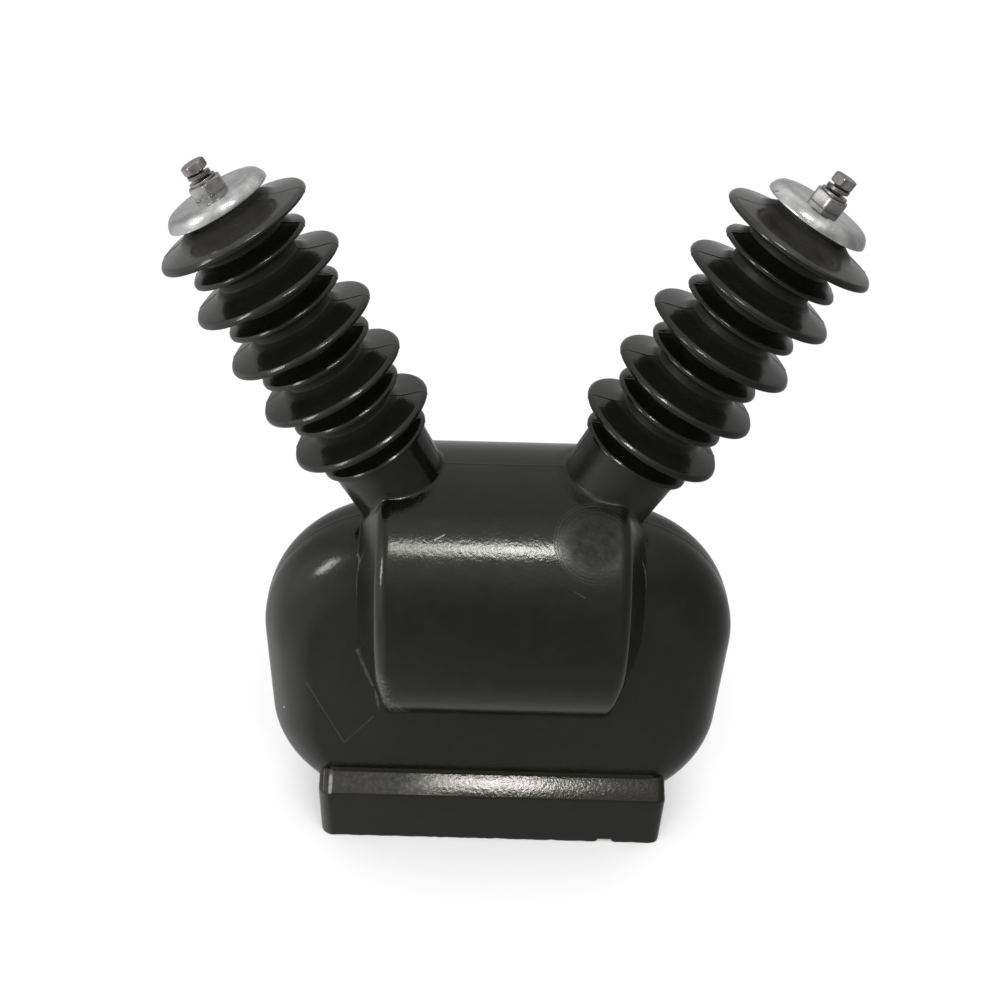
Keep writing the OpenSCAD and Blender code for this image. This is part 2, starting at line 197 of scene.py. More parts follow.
def surface_net(fn, xs, ys, zs):
    """Closed quad mesh of fn = 0; each vertex sits where the tangent planes of its cell meet, so that creases stay sharp."""
    X, Y, Z = xs[:, None, None], ys[None, :, None], zs[None, None, :]
    f = np.broadcast_to(fn(X, Y, Z), (len(xs), len(ys), len(zs))).copy()
    s = f < 0
    nx, ny, nz = s.shape
    cnt = np.zeros((nx - 1, ny - 1, nz - 1), np.uint8)
    for i in (0, 1):
        for j in (0, 1):
            for k in (0, 1):
                cnt += s[i:nx - 1 + i, j:ny - 1 + j, k:nz - 1 + k]
    act = (cnt > 0) & (cnt < 8)
    I, J, K = np.nonzero(act)
    idx = np.full(act.shape, -1, np.int64); idx[act] = np.arange(len(I))
    ax = (xs, ys, zs)
    where, pts = [], []
    for d in range(3):
        o = [q for q in range(3) if q != d]
        for u in (0, 1):
            for w in (0, 1):
                a = [I.copy(), J.copy(), K.copy()]
                a[o[0]] = a[o[0]] + u; a[o[1]] = a[o[1]] + w
                b = [q.copy() for q in a]; b[d] = b[d] + 1
                fa, fb = f[a[0], a[1], a[2]], f[b[0], b[1], b[2]]
                m = np.nonzero((fa < 0) != (fb < 0))[0]
                lo = np.stack([ax[q][a[q][m]] for q in range(3)], 1)
                hi = lo.copy(); hi[:, d] = ax[d][b[d][m]]
                va, vb = fa[m].copy(), fb[m].copy()
                for _ in range(3):
                    t = np.clip(va / (va - vb), 0.02, 0.98)[:, None]
                    mid = lo + (hi - lo) * t
                    vm = fn(mid[:, 0], mid[:, 1], mid[:, 2])
                    same = (vm < 0) == (va < 0)
                    lo = np.where(same[:, None], mid, lo); va = np.where(same, vm, va)
                    hi = np.where(same[:, None], hi, mid); vb = np.where(same, vb, vm)
                pts.append(lo + (hi - lo) * (va / (va - vb))[:, None]); where.append(m)
    where, pts = np.concatenate(where), np.concatenate(pts)
    g = gradient(fn, pts, 0.02)
    g /= np.maximum(np.linalg.norm(g, axis=1, keepdims=True), 1e-9)
    num = np.bincount(where, minlength=len(I)).astype(float)
    mean = np.stack([np.bincount(where, pts[:, q], minlength=len(I)) for q in range(3)], 1) / num[:, None]
    rel = ((pts - mean[where]) * g).sum(1)
    A = np.zeros((len(I), 3, 3)); B = np.zeros((len(I), 3))
    for q in range(3):
        B[:, q] = np.bincount(where, g[:, q] * rel, minlength=len(I))
        for r in range(3):
            A[:, q, r] = np.bincount(where, g[:, q] * g[:, r], minlength=len(I))
    val, vec = np.linalg.eigh(A)
    inv = np.where(val > 0.06 * val[:, 2:3], 1.0 / np.maximum(val, 1e-9), 0.0)
    step = np.einsum("nij,nj,nkj,nk->ni", vec, inv, vec, B)
    v = mean + step
    box_lo = np.stack([xs[I], ys[J], zs[K]], 1); box_hi = np.stack([xs[I + 1], ys[J + 1], zs[K + 1]], 1)
    v = np.clip(v, box_lo, box_hi)
    quads = []
    sa, sb = s[:-1, 1:-1, 1:-1], s[1:, 1:-1, 1:-1]
    i, j, k = np.nonzero(sa != sb); fl = sb[i, j, k]; j = j + 1; k = k + 1
    q = np.stack([idx[i, j - 1, k - 1], idx[i, j, k - 1], idx[i, j, k], idx[i, j - 1, k]], 1)
    q[fl] = q[fl][:, ::-1]; quads.append(q)
    sa, sb = s[1:-1, :-1, 1:-1], s[1:-1, 1:, 1:-1]
    i, j, k = np.nonzero(sa != sb); fl = sb[i, j, k]; i = i + 1; k = k + 1
    q = np.stack([idx[i - 1, j, k - 1], idx[i - 1, j, k], idx[i, j, k], idx[i, j, k - 1]], 1)
    q[fl] = q[fl][:, ::-1]; quads.append(q)
    sa, sb = s[1:-1, 1:-1, :-1], s[1:-1, 1:-1, 1:]
    i, j, k = np.nonzero(sa != sb); fl = sb[i, j, k]; i = i + 1; j = j + 1
    q = np.stack([idx[i - 1, j - 1, k], idx[i, j - 1, k], idx[i, j, k], idx[i - 1, j, k]], 1)
    q[fl] = q[fl][:, ::-1]; quads.append(q)
    return v, np.concatenate(quads)


def corner_normals(fn, v, quads):
    """Normal of each face corner, read a little way in from the corner so that a crease stays a crease."""
    c = v[quads]
    mid = c.mean(1, keepdims=True)
    p = (c + (mid - c) * 0.30).reshape(-1, 3)
    for _ in range(2):
        g = gradient(fn, p, 0.03)
        l = np.maximum((g * g).sum(1), 0.2)
        p = p - np.clip(fn(p[:, 0], p[:, 1], p[:, 2]) / l, -0.4, 0.4)[:, None] * g
    inner = gradient(fn, p, 0.05)
    inner /= np.maximum(np.linalg.norm(inner, axis=1, keepdims=True), 1e-9)
    # smooth places take the normal at the corner itself
    g = gradient(fn, v, 0.05)
    g /= np.maximum(np.linalg.norm(g, axis=1, keepdims=True), 1e-9)
    own = g[quads.reshape(-1)]
    keep = (own * inner).sum(1) > math.cos(math.radians(24))
    return np.where(keep[:, None], own, inner)


def settle(fn, v, rounds=4):
    """Moves points onto the zero surface along its gradient."""
    for _ in range(rounds):
        g = gradient(fn, v)
        l = np.maximum((g * g).sum(1), 0.05)
        step = (fn(v[:, 0], v[:, 1], v[:, 2]) / l)[:, None] * g
        n = np.linalg.norm(step, axis=1, keepdims=True)
        v = v - step * np.minimum(1, 1.2 / np.maximum(n, 1e-9))
    g = gradient(fn, v)
    return v, g / np.maximum(np.linalg.norm(g, axis=1, keepdims=True), 1e-9)

# ------------------------------------------------------------------ procedural materials
def new_mat(name, rgb, rough, metallic=0.0, ior=1.45, spec=0.5):
    m = bpy.data.materials.new(name)
    m.use_nodes = True
    nt = m.node_tree
    bs = nt.nodes["Principled BSDF"]
    bs.inputs["Base Color"].default_value = (*rgb, 1)
    bs.inputs["Roughness"].default_value = rough
    bs.inputs["Metallic"].default_value = metallic
    bs.inputs["IOR"].default_value = ior
    bs.inputs["Specular IOR Level"].default_value = spec
    return m, nt, bs


class Net:
    """Small helper that adds and links shader nodes."""
    def __init__(self, nt):
        self.nt = nt
        self.co = nt.nodes.new("ShaderNodeTexCoord").outputs["Object"]

    def link(self, a, b):
        self.nt.links.new(a, b)

    def put(self, sock, val):
        if isinstance(val, bpy.types.NodeSocket):
            self.link(val, sock)
        else:
            sock.default_value = val

    def math(self, op, a, b=0.0, c=0.0, clamp=False):
        n = self.nt.nodes.new("ShaderNodeMath"); n.operation = op; n.use_clamp = clamp
        self.put(n.inputs[0], a); self.put(n.inputs[1], b)
        if op in ("MULTIPLY_ADD", "SMOOTH_MIN", "SMOOTH_MAX"):
            self.put(n.inputs[2], c)
        return n.outputs[0]

    def vmath(self, op, a, b=(0, 0, 0)):
        n = self.nt.nodes.new("ShaderNodeVectorMath"); n.operation = op
        self.put(n.inputs[0], a); self.put(n.inputs[1], b)
        return n.outputs["Value"] if op in ("LENGTH", "DISTANCE", "DOT_PRODUCT") else n.outputs[0]

    def noise(self, scale, detail=3.0, rough=0.5, distort=0.0, vec=None, lac=2.0):
        n = self.nt.nodes.new("ShaderNodeTexNoise")
        self.link(vec if vec is not None else self.co, n.inputs["Vector"])
        n.inputs["Scale"].default_value = scale; n.inputs["Detail"].default_value = detail
        n.inputs["Roughness"].default_value = rough; n.inputs["Distortion"].default_value = distort
        n.inputs["Lacunarity"].default_value = lac
        return n.outputs["Fac"]

    def voronoi(self, scale, feature="F1", rnd=1.0, vec=None):
        n = self.nt.nodes.new("ShaderNodeTexVoronoi"); n.feature = feature
        self.link(vec if vec is not None else self.co, n.inputs["Vector"])
        n.inputs["Scale"].default_value = scale; n.inputs["Randomness"].default_value = rnd
        return n.outputs["Distance"]

    def remap(self, v, a, b, c, d, smooth=False):
        n = self.nt.nodes.new("ShaderNodeMapRange"); n.clamp = True
        if smooth:
            n.interpolation_type = "SMOOTHSTEP"
        self.put(n.inputs["Value"], v)
        for k, x in zip(("From Min", "From Max", "To Min", "To Max"), (a, b, c, d)):
            n.inputs[k].default_value = x
        return n.outputs["Result"]

    def mix(self, fac, a, b):
        n = self.nt.nodes.new("ShaderNodeMix"); n.data_type = "RGBA"; n.clamp_factor = True
        self.put(n.inputs["Factor"], fac)
        for s, v in ((n.inputs["A"], a), (n.inputs["B"], b)):
            if isinstance(v, bpy.types.NodeSocket):
                self.link(v, s)
            else:
                s.default_value = (*v, 1) if len(v) == 3 else v
        return n.outputs["Result"]

    def bump(self, height, dist, strength=1.0, normal=None):
        n = self.nt.nodes.new("ShaderNodeBump")
        n.inputs["Strength"].default_value = strength; n.inputs["Distance"].default_value = dist
        self.link(height, n.inputs["Height"])
        if normal is not None:
            self.link(normal, n.inputs["Normal"])
        return n.outputs["Normal"]

    def stretch(self, sx, sy, sz, vec=None):
        n = self.nt.nodes.new("ShaderNodeMapping")
        self.link(vec if vec is not None else self.co, n.inputs["Vector"])
        n.inputs["Scale"].default_value = (sx, sy, sz)
        return n.outputs["Vector"]

    def pointiness(self):
        return self.nt.nodes.new("ShaderNodeNewGeometry").outputs["Pointiness"]

    def segment(self, p, q):
        """Distance in metres from the surface point to the segment p-q, given in millimetres."""
        p, q = np.array(p, float) * MM, np.array(q, float) * MM
        d = q - p; L = float(np.linalg.norm(d)); u = d / L
        rel = self.vmath("SUBTRACT", self.co, tuple(p))
        t = self.math("MINIMUM", self.math("MAXIMUM", self.vmath("DOT_PRODUCT", rel, tuple(u)), 0.0), L)
        sc = self.nt.nodes.new("ShaderNodeVectorMath"); sc.operation = "SCALE"
        sc.inputs[0].default_value = tuple(u); self.link(t, sc.inputs["Scale"])
        return self.vmath("LENGTH", self.vmath("SUBTRACT", rel, sc.outputs[0]))


def resin_material(name, marks=False, ior=1.37, tint=(0.985, 1.0, 0.925), dust_grime_and_top_light=False):
    m, nt, bs = new_mat(name, (0.0030, 0.0032, 0.0020), 0.18, ior=1.37, spec=0.5)
    bs.inputs["Specular Tint"].default_value = (*tint, 1.0)
    n = Net(nt)
    broad = n.noise(9.0, 3.0, 0.55)
    mott = n.noise(85.0, 4.0, 0.6)
    fine = n.noise(900.0, 3.0, 0.65)
    peel = n.noise(420.0, 2.0, 0.5)
    col = n.mix(n.remap(broad, 0.3, 0.7, 0, 1, True), (0.0022, 0.0025, 0.0014), (0.0040, 0.0040, 0.0026))
    col = n.mix(n.remap(mott, 0.45, 0.75, 0, 0.5), col, (0.0065, 0.0064, 0.0048))
    speck = n.remap(n.voronoi(260.0), 0.0, 0.09, 1.0, 0.0)
    speck = n.math("MULTIPLY", speck, n.remap(n.noise(60.0, 2.0), 0.62, 0.72, 0, 1))
    col = n.mix(n.math("MULTIPLY", speck, 0.6), col, (0.055, 0.053, 0.048))
    edge = n.remap(n.pointiness(), 0.53, 0.60, 0.0, 1.0, True)
    wear = n.math("MULTIPLY", edge, n.remap(n.noise(160.0, 4.0, 0.65), 0.42, 0.66, 0.0, 0.55))
    col = n.mix(wear, col, (0.034, 0.033, 0.029))
    if dust_grime_and_top_light:
        # a film of dust on the sheds' upward faces, partly painted top light: faces that point up are painted lighter
        up = nt.nodes.new("ShaderNodeNewGeometry").outputs["Normal"]
        dust_and_top_light = n.remap(n.vmath("DOT_PRODUCT", up, (0, 0, 1)), 0.40, 0.75, 0.0, 1.0, True)
        dust_and_top_light = n.math("MULTIPLY", dust_and_top_light, n.remap(n.noise(48.0, 4.0, 0.6), 0.3, 0.72, 0.45, 1.0))
        # the small sheds sit deep between the large ones and are left out of this lighter paint, so they stay dark
        along = n.vmath("DOT_PRODUCT", n.vmath("ABSOLUTE", n.co), (math.sin(LEAN), 0, math.cos(LEAN)))
        turn = n.math("FRACT", n.math("MULTIPLY_ADD", along, 1000.0 / PITCH, -(SHED0_X * math.sin(LEAN) + SHED0_Z * math.cos(LEAN)) / PITCH + 20.1))
        large = n.math("MULTIPLY", n.remap(turn, 0.0, 0.06, 0.0, 1.0), n.remap(turn, 0.40, 0.50, 1.0, 0.0))
        top = n.remap(along, (SHED0_X * math.sin(LEAN) + SHED0_Z * math.cos(LEAN) + 4 * PITCH - 3) * MM, (SHED0_X * math.sin(LEAN) + SHED0_Z * math.cos(LEAN) + 4 * PITCH - 1) * MM, 0.0, 1.0)
        dust_and_top_light = n.math("MULTIPLY", dust_and_top_light, n.math("MAXIMUM", n.math("MAXIMUM", large, top), 0.05))
        # painted top light with dust: the large sheds' upward faces painted lighter
        col = n.mix(dust_and_top_light, col, (0.0100, 0.0098, 0.0078))
        # painted top light: the uppermost shed's top face, with no shed above it, painted lighter still
        col = n.mix(n.math("MULTIPLY", dust_and_top_light, top), col, (0.037, 0.0352, 0.0326))
    rough = n.math("ADD", n.remap(mott, 0.3, 0.75, 0.11, 0.17), n.remap(fine, 0.3, 0.7, -0.02, 0.03))
    rough = n.math("ADD", rough, n.math("MULTIPLY", wear, 0.15))
    if dust_grime_and_top_light:
        # grime in the roots between the sheds
        off = n.vmath("SUBTRACT", n.vmath("ABSOLUTE", n.co), (SHED0_X * MM, 0, SHED0_Z * MM))
        t = n.vmath("DOT_PRODUCT", off, (math.sin(LEAN), 0, math.cos(LEAN)))
        r = n.math("SQRT", n.math("MAXIMUM", n.math("SUBTRACT", n.vmath("DOT_PRODUCT", off, off), n.math("MULTIPLY", t, t)), 0.0))
        root = n.math("MULTIPLY", n.remap(r, 0.0275, 0.0318, 1.0, 0.0), n.remap(n.noise(90.0, 3.0), 0.3, 0.7, 0.75, 1.0))
        rough = n.math("ADD", rough, n.math("MULTIPLY", root, 0.45))
    h = n.math("ADD", n.math("MULTIPLY", peel, 0.5), n.math("MULTIPLY", fine, 0.22))
    nrm = n.bump(n.noise(20.0, 2.0, 0.4), 0.0006, 0.30)
    nrm = n.bump(n.noise(75.0, 2.0, 0.45), 0.0002, 0.28, nrm)
    nrm = n.bump(h, 0.00017, 1.0, nrm)
    if marks:
        col, rough, nrm = marks_on(n, col, rough, nrm)
    n.link(col, bs.inputs["Base Color"]); n.link(rough, bs.inputs["Roughness"]); n.link(nrm, bs.inputs["Normal"])
    return m


def marks_on(n, col, rough, nrm):
    """Handling marks on the casting: a ring left by a lid, a scratch, the outline of a lost label, a chafed patch, a
    pale line along the mould flash that is partly wear and partly painted highlight, and painted glints.
    """
    centre = n.vmath("SUBTRACT", n.co, (0.0575, -0.0564, 0.2924))
    dist = n.vmath("LENGTH", centre)
    rings = None
    for r, w, s in ((0.0133, 0.0005, 0.2), (0.0170, 0.0005, 0.4), (0.0202, 0.0006, 0.6), (0.0226, 0.0005, 0.55), (0.0249, 0.0006, 0.9), (0.0267, 0.0005, 0.8)):
        d = n.math("ABSOLUTE", n.math("SUBTRACT", dist, r))
        k = n.remap(d, 0.0, w, s, 0.0, True)
        rings = k if rings is None else n.math("MAXIMUM", rings, k)
    rings = n.math("MULTIPLY", rings, n.remap(n.noise(38.0, 3.0), 0.38, 0.6, 0.05, 1.0))
    front = n.remap(n.vmath("DOT_PRODUCT", n.co, (0, 1, 0)), -0.02, -0.012, 1.0, 0.0)
    rings = n.math("MULTIPLY", rings, front)
    col = n.mix(n.math("MULTIPLY", rings, 0.55), col, (0.034, 0.0335, 0.029))
    rough = n.math("ADD", rough, n.math("MULTIPLY", rings, 0.12))
    # inside the ring the surface has gone dull, and so has the right neck
    disc = n.math("MULTIPLY", n.remap(dist, 0.0120, 0.0275, 1.0, 0.0), front)
    disc = n.math("MULTIPLY", disc, n.remap(n.noise(240.0, 3.0), 0.3, 0.7, 0.65, 1.0))
    neck = n.remap(n.segment((93.3 - 72 * math.sin(LEAN), 0, 341.6 - 72 * math.cos(LEAN)), (93.3 - 12 * math.sin(LEAN), 0, 341.6 - 12 * math.cos(LEAN))), 0.036, 0.043, 1.0, 0.0, True)
    neck = n.math("MULTIPLY", neck, n.remap(n.noise(70.0, 3.0), 0.3, 0.7, 0.7, 1.0))
    rough = n.math("ADD", rough, n.math("MAXIMUM", n.math("MULTIPLY", disc, 0.60), n.math("MULTIPLY", neck, 0.30)))
    # chafed patch on the barrel's lower left edge
    chafe = n.math("MINIMUM", n.segment((-78.7, -94.5, 204.0), (-75.5, -90.1, 183.5)), n.segment((-75.5, -90.1, 183.5), (-66.0, -79.7, 162.7)))
    chafe = n.math("MULTIPLY", n.remap(chafe, 0.0015, 0.0105, 1.0, 0.0, True), n.remap(n.noise(420.0, 5.0, 0.7), 0.44, 0.64, 0.0, 1.0))
    col = n.mix(n.math("MULTIPLY", chafe, 0.8), col, (0.085, 0.083, 0.075))
    rough = n.math("ADD", rough, n.math("MULTIPLY", chafe, 0.25))
    # pale line along the lower mould flash: partly wear, partly painted highlight along the junction
    flash = n.math("MINIMUM", n.segment((-97.3, -42.0, 182.1), (-91.8, -42.0, 161.2)), n.math("MINIMUM", n.segment((-91.8, -42.0, 161.2), (-85.5, -42.0, 143.4)), n.segment((-85.5, -42.0, 143.4), (-83.8, -42.0, 124.5))))
    flash = n.math("ADD", flash, n.math("MULTIPLY", n.math("SUBTRACT", n.noise(140.0, 3.0), 0.5), 0.0030))
    flash = n.math("MULTIPLY", n.remap(flash, 0.0003, 0.0014, 1.0, 0.0, True), n.remap(n.noise(330.0, 4.0, 0.7), 0.36, 0.56, 0.15, 1.0))
    col = n.mix(n.math("MULTIPLY", flash, 0.70), col, (0.080, 0.078, 0.071))
    # painted glints: bright dashes painted into the resin's colour
    for p, q, w in GLINTS:
        k = n.math("MULTIPLY", n.remap(n.segment(p, q), w * 0.4, w, 1.0, 0.0, True), n.remap(n.noise(500.0, 2.0), 0.3, 0.5, 0.6, 1.0))
        col = n.mix(k, col, (0.24, 0.24, 0.225))
    nrm = n.bump(rings, 0.00006, 0.4, nrm)
    for p, q, w, s in MARK_LINES:
        k = n.remap(n.segment(p, q), 0.0, w, s, 0.0, True)
        k = n.math("MULTIPLY", k, n.remap(n.noise(120.0, 2.0), 0.3, 0.55, 0.25, 1.0))
        col = n.mix(n.math("MULTIPLY", k, 0.7), col, (0.045, 0.044, 0.039))
        rough = n.math("ADD", rough, n.math("MULTIPLY", k, 0.12))
        nrm = n.bump(k, -0.00010, 0.5, nrm)
    return col, rough, nrm


# scratch on the barrel, then the two corners of the lost label on the casing's face: from, to, half width, strength
MARK_LINES = [
    ((33.6, -74.0, 274.6), (50.5, -80.2, 267.0), 0.0007, 0.9),
    ((-135.4, -42.0, 151.4), (-110.5, -42.0, 88.4), 0.0008, 0.75),
    ((-110.5, -42.0, 88.4), (-87.7, -42.0, 117.2), 0.0008, 0.6),
]


# painted glints, bright dashes painted where small dents catch the light: from, to, half width
GLINTS = [((-43.4, -57.4, 291.5), (-37.4, -54.6, 293.7), 0.0006), ((-152.2, -42.0, 125.5), (-156.2, -25.0, 105.0), 0.0009)]


def cast_metal(name, rgb, dark, rough_lo, rough_hi, metallic=1.0, scale=300.0, grain=0.00003, stain=0.35, stain_rgb=(0.2, 0.17, 0.14)):
    m, nt, bs = new_mat(name, rgb, rough_lo, metallic)
    n = Net(nt)
    big = n.noise(scale * 0.22, 4.0, 0.6, 0.4)
    mid = n.noise(scale, 4.0, 0.6)
    col = n.mix(n.remap(big, 0.35, 0.68, 0, 1, True), dark, rgb)
    col = n.mix(n.math("MULTIPLY", n.remap(n.noise(scale * 0.6, 5.0, 0.7), 0.56, 0.72, 0, 1, True), stain), col, stain_rgb)
    # painted shade: concave hollows painted darker
    cavity_shade = n.remap(n.pointiness(), 0.40, 0.48, 1.0, 0.0, True)
    col = n.mix(n.math("MULTIPLY", cavity_shade, 0.6), col, (0.05, 0.045, 0.04))
    bright = n.remap(n.pointiness(), 0.53, 0.62, 0.0, 0.7, True)
    col = n.mix(bright, col, tuple(min(1.0, c * 1.25) for c in rgb))
    n.link(col, bs.inputs["Base Color"])
    n.link(n.remap(mid, 0.3, 0.72, rough_lo, rough_hi), bs.inputs["Roughness"])
    n.link(n.bump(n.noise(scale * 3.0, 3.0, 0.6), grain, 1.0, n.bump(mid, grain * 2.5, 0.8)), bs.inputs["Normal"])
    return m


MAT = {}
MAT["resin"] = resin_material("resin_satin")
MAT["resin_shed"] = resin_material("resin_satin_sheds", dust_grime_and_top_light=True)
MAT["resin_casting"] = resin_material("resin_satin_marked", marks=True)
MAT["cap_metal"] = cast_metal("aluminium_pressed", (0.66, 0.66, 0.65), (0.36, 0.36, 0.355), 0.07, 0.19, scale=230.0, grain=0.00005, stain=0.85, stain_rgb=(0.24, 0.236, 0.232))
MAT["post_metal"] = cast_metal("steel_plated", (0.38, 0.375, 0.365), (0.22, 0.215, 0.21), 0.12, 0.28, scale=330.0, stain=0.6, stain_rgb=(0.13, 0.115, 0.10))
MAT["fastener_steel"] = cast_metal("steel_zinc_weathered", (0.34, 0.32, 0.31), (0.17, 0.155, 0.15), 0.20, 0.42, scale=400.0, stain=0.6, stain_rgb=(0.10, 0.075, 0.06))
MAT["insert_brass"] = cast_metal("brass_turned", (0.72, 0.55, 0.26), (0.52, 0.38, 0.17), 0.22, 0.40, scale=350.0, stain=0.4, stain_rgb=(0.24, 0.16, 0.08))
MAT["cover_metal"] = cast_metal("aluminium_satin", (0.58, 0.59, 0.60), (0.45, 0.46, 0.47), 0.32, 0.46, scale=200.0, stain=0.3, stain_rgb=(0.33, 0.33, 0.33))


def rubber_material():
    m, nt, bs = new_mat("rubber_moulded", (0.020, 0.020, 0.020), 0.62, ior=1.5, spec=0.35)
    n = Net(nt)
    col = n.mix(n.remap(n.noise(180.0, 4.0, 0.6), 0.35, 0.7, 0, 1), (0.014, 0.014, 0.014), (0.034, 0.033, 0.032))
    n.link(col, bs.inputs["Base Color"])
    n.link(n.remap(n.noise(500.0, 3.0), 0.3, 0.7, 0.5, 0.75), bs.inputs["Roughness"])
    n.link(n.bump(n.noise(1400.0, 3.0, 0.6), 0.00005), bs.inputs["Normal"])
    return m


def plastic_material():
    m, nt, bs = new_mat("polyamide_black", (0.022, 0.022, 0.023), 0.45, ior=1.5, spec=0.5)
    n = Net(nt)
    edge = n.remap(n.pointiness(), 0.53, 0.62, 0.0, 0.6, True)
    col = n.mix(n.remap(n.noise(150.0, 4.0, 0.6), 0.35, 0.7, 0, 1), (0.016, 0.016, 0.017), (0.032, 0.031, 0.030))
    n.link(n.mix(edge, col, (0.055, 0.054, 0.052)), bs.inputs["Base Color"])
    n.link(n.remap(n.noise(420.0, 3.0), 0.3, 0.7, 0.36, 0.55), bs.inputs["Roughness"])
    n.link(n.bump(n.noise(1700.0, 3.0, 0.6), 0.00004), bs.inputs["Normal"])
    return m


def plate_material():
    """Brushed along X, for the blank plate."""
    m, nt, bs = new_mat("aluminium_brushed", (0.62, 0.62, 0.62), 0.3, metallic=1.0)
    n = Net(nt)
    line = n.noise(900.0, 4.0, 0.65, vec=n.stretch(0.03, 1.0, 1.0))
    col = n.mix(n.remap(line, 0.35, 0.7, 0, 1), (0.50, 0.50, 0.51), (0.68, 0.68, 0.68))
    col = n.mix(n.remap(n.noise(40.0, 4.0, 0.6), 0.55, 0.75, 0, 0.4), col, (0.33, 0.33, 0.32))
    n.link(col, bs.inputs["Base Color"])
    n.link(n.remap(line, 0.3, 0.7, 0.26, 0.42), bs.inputs["Roughness"])
    n.link(n.bump(line, 0.00002), bs.inputs["Normal"])
    return m


MAT["seal_rubber"] = rubber_material()
MAT["gland_plastic"] = plastic_material()
MAT["plate_metal"] = plate_material()
MAT["resin_plinth"] = resin_material("resin_satin_plinth", ior=1.56, tint=(1.0, 0.965, 0.90))


def dull_ledge(m):
    """The left part of the plinth's front ledge has gone dull and blotchy."""
    nt = m.node_tree
    bs = nt.nodes["Principled BSDF"]
    old = bs.inputs["Roughness"].links[0].from_socket
    n = Net(nt)
    sep = nt.nodes.new("ShaderNodeSeparateXYZ"); n.link(n.co, sep.inputs[0])
    edge = n.math("ADD", sep.outputs["X"], n.math("MULTIPLY", n.math("SUBTRACT", n.noise(150.0, 4.0, 0.7), 0.5), 0.045))
    k = n.remap(edge, -0.070, -0.014, 1.0, 0.0)
    k = n.math("MULTIPLY", k, k)
    k = n.math("MULTIPLY", k, n.remap(sep.outputs["Z"], 0.0475, 0.0488, 0.0, 1.0))
    k = n.math("MULTIPLY", k, n.remap(n.noise(330.0, 4.0, 0.65), 0.30, 0.66, 1.0, 0.66))
    ledge = n.remap(sep.outputs["Z"], 0.0482, 0.0492, 0.0, 1.0)
    rough = n.math("ADD", n.math("MULTIPLY", old, n.math("SUBTRACT", 1.0, n.math("MULTIPLY", ledge, 0.35))), n.math("MULTIPLY", k, 0.42))
    n.link(rough, bs.inputs["Roughness"])
    # broken flash on the front lower edge, painted pale: painted light standing in for the bright floor seen through
    # the notch
    chip_painted_light = n.remap(n.math("ABSOLUTE", n.math("SUBTRACT", sep.outputs["X"], 0.0884)), 0.0048, 0.0058, 1.0, 0.0)
    chip_painted_light = n.math("MULTIPLY", chip_painted_light, n.remap(sep.outputs["Z"], 0.0034, 0.0044, 1.0, 0.0))
    chip_painted_light = n.math("MULTIPLY", chip_painted_light, n.remap(sep.outputs["Y"], -0.0530, -0.0500, 1.0, 0.0))
    chip_painted_light = n.math("MULTIPLY", chip_painted_light, n.remap(n.noise(700.0, 3.0), 0.25, 0.5, 0.55, 1.0))
    base = n.mix(chip_painted_light, bs.inputs["Base Color"].links[0].from_socket, (0.42, 0.42, 0.39))
    # painted highlights at the ledge's left end: a bright stripe where the corner rounding starts, and a thin line near
    # the end face
    corner_highlight = n.remap(n.math("ABSOLUTE", n.math("SUBTRACT", sep.outputs["X"], -0.1214)), 0.0008, 0.0018, 1.0, 0.0, True)
    thin = n.remap(n.math("ABSOLUTE", n.math("SUBTRACT", sep.outputs["X"], -0.1268)), 0.0002, 0.0007, 0.35, 0.0, True)
    corner_highlight = n.math("MULTIPLY", n.math("MAXIMUM", corner_highlight, thin), ledge)
    corner_highlight = n.math("MULTIPLY", corner_highlight, n.remap(sep.outputs["Z"], 0.0560, 0.0575, 1.0, 0.2))
    corner_highlight = n.math("MULTIPLY", corner_highlight, n.remap(n.noise(260.0, 3.0), 0.30, 0.62, 0.45, 1.0))
    n.link(n.mix(corner_highlight, base, (0.24, 0.235, 0.22)), bs.inputs["Base Color"])


dull_ledge(MAT["resin_plinth"])
MAT["resin_worn"] = resin_material("resin_worn_edge")


def worn_and_highlight_material(m):
    """Same resin, paler and rougher where a sharp edge has been rubbed; the paler colour on the flash lines is partly
    painted highlight.
    """
    nt = m.node_tree
    bs = nt.nodes["Principled BSDF"]
    n = Net(nt)
    k = n.remap(n.noise(240.0, 4.0, 0.65), 0.35, 0.65, 0.0, 1.0)
    # pale colour: partly rubbed wear, partly painted highlight on the flash lines
    n.link(n.mix(k, (0.012, 0.012, 0.010), (0.060, 0.058, 0.051)), bs.inputs["Base Color"])
    n.link(n.remap(n.noise(700.0, 3.0), 0.3, 0.7, 0.26, 0.42), bs.inputs["Roughness"])


worn_and_highlight_material(MAT["resin_worn"])

# ------------------------------------------------------------------ casting: casing, barrel and necks
def build_casing():
    xs = axis_points([(-170, -103.5, 2.3), (-103.5, -68.5, 1.25), (-68.5, 68.5, 2.35), (68.5, 103.5, 1.25), (103.5, 170, 2.3)])
    ys = axis_points([(-98.5, -1.4, 2.2), (-1.4, 1.4, 0.7), (1.4, 98.5, 2.2)])
    zs = axis_points([(3.3, 346.5, 2.2)])
    v, q = surface_net(sd_casting, xs, ys, zs)
    return mesh_object("resin_casing", v, q, MAT["resin_casting"], normals=corner_normals(sd_casting, v, q))


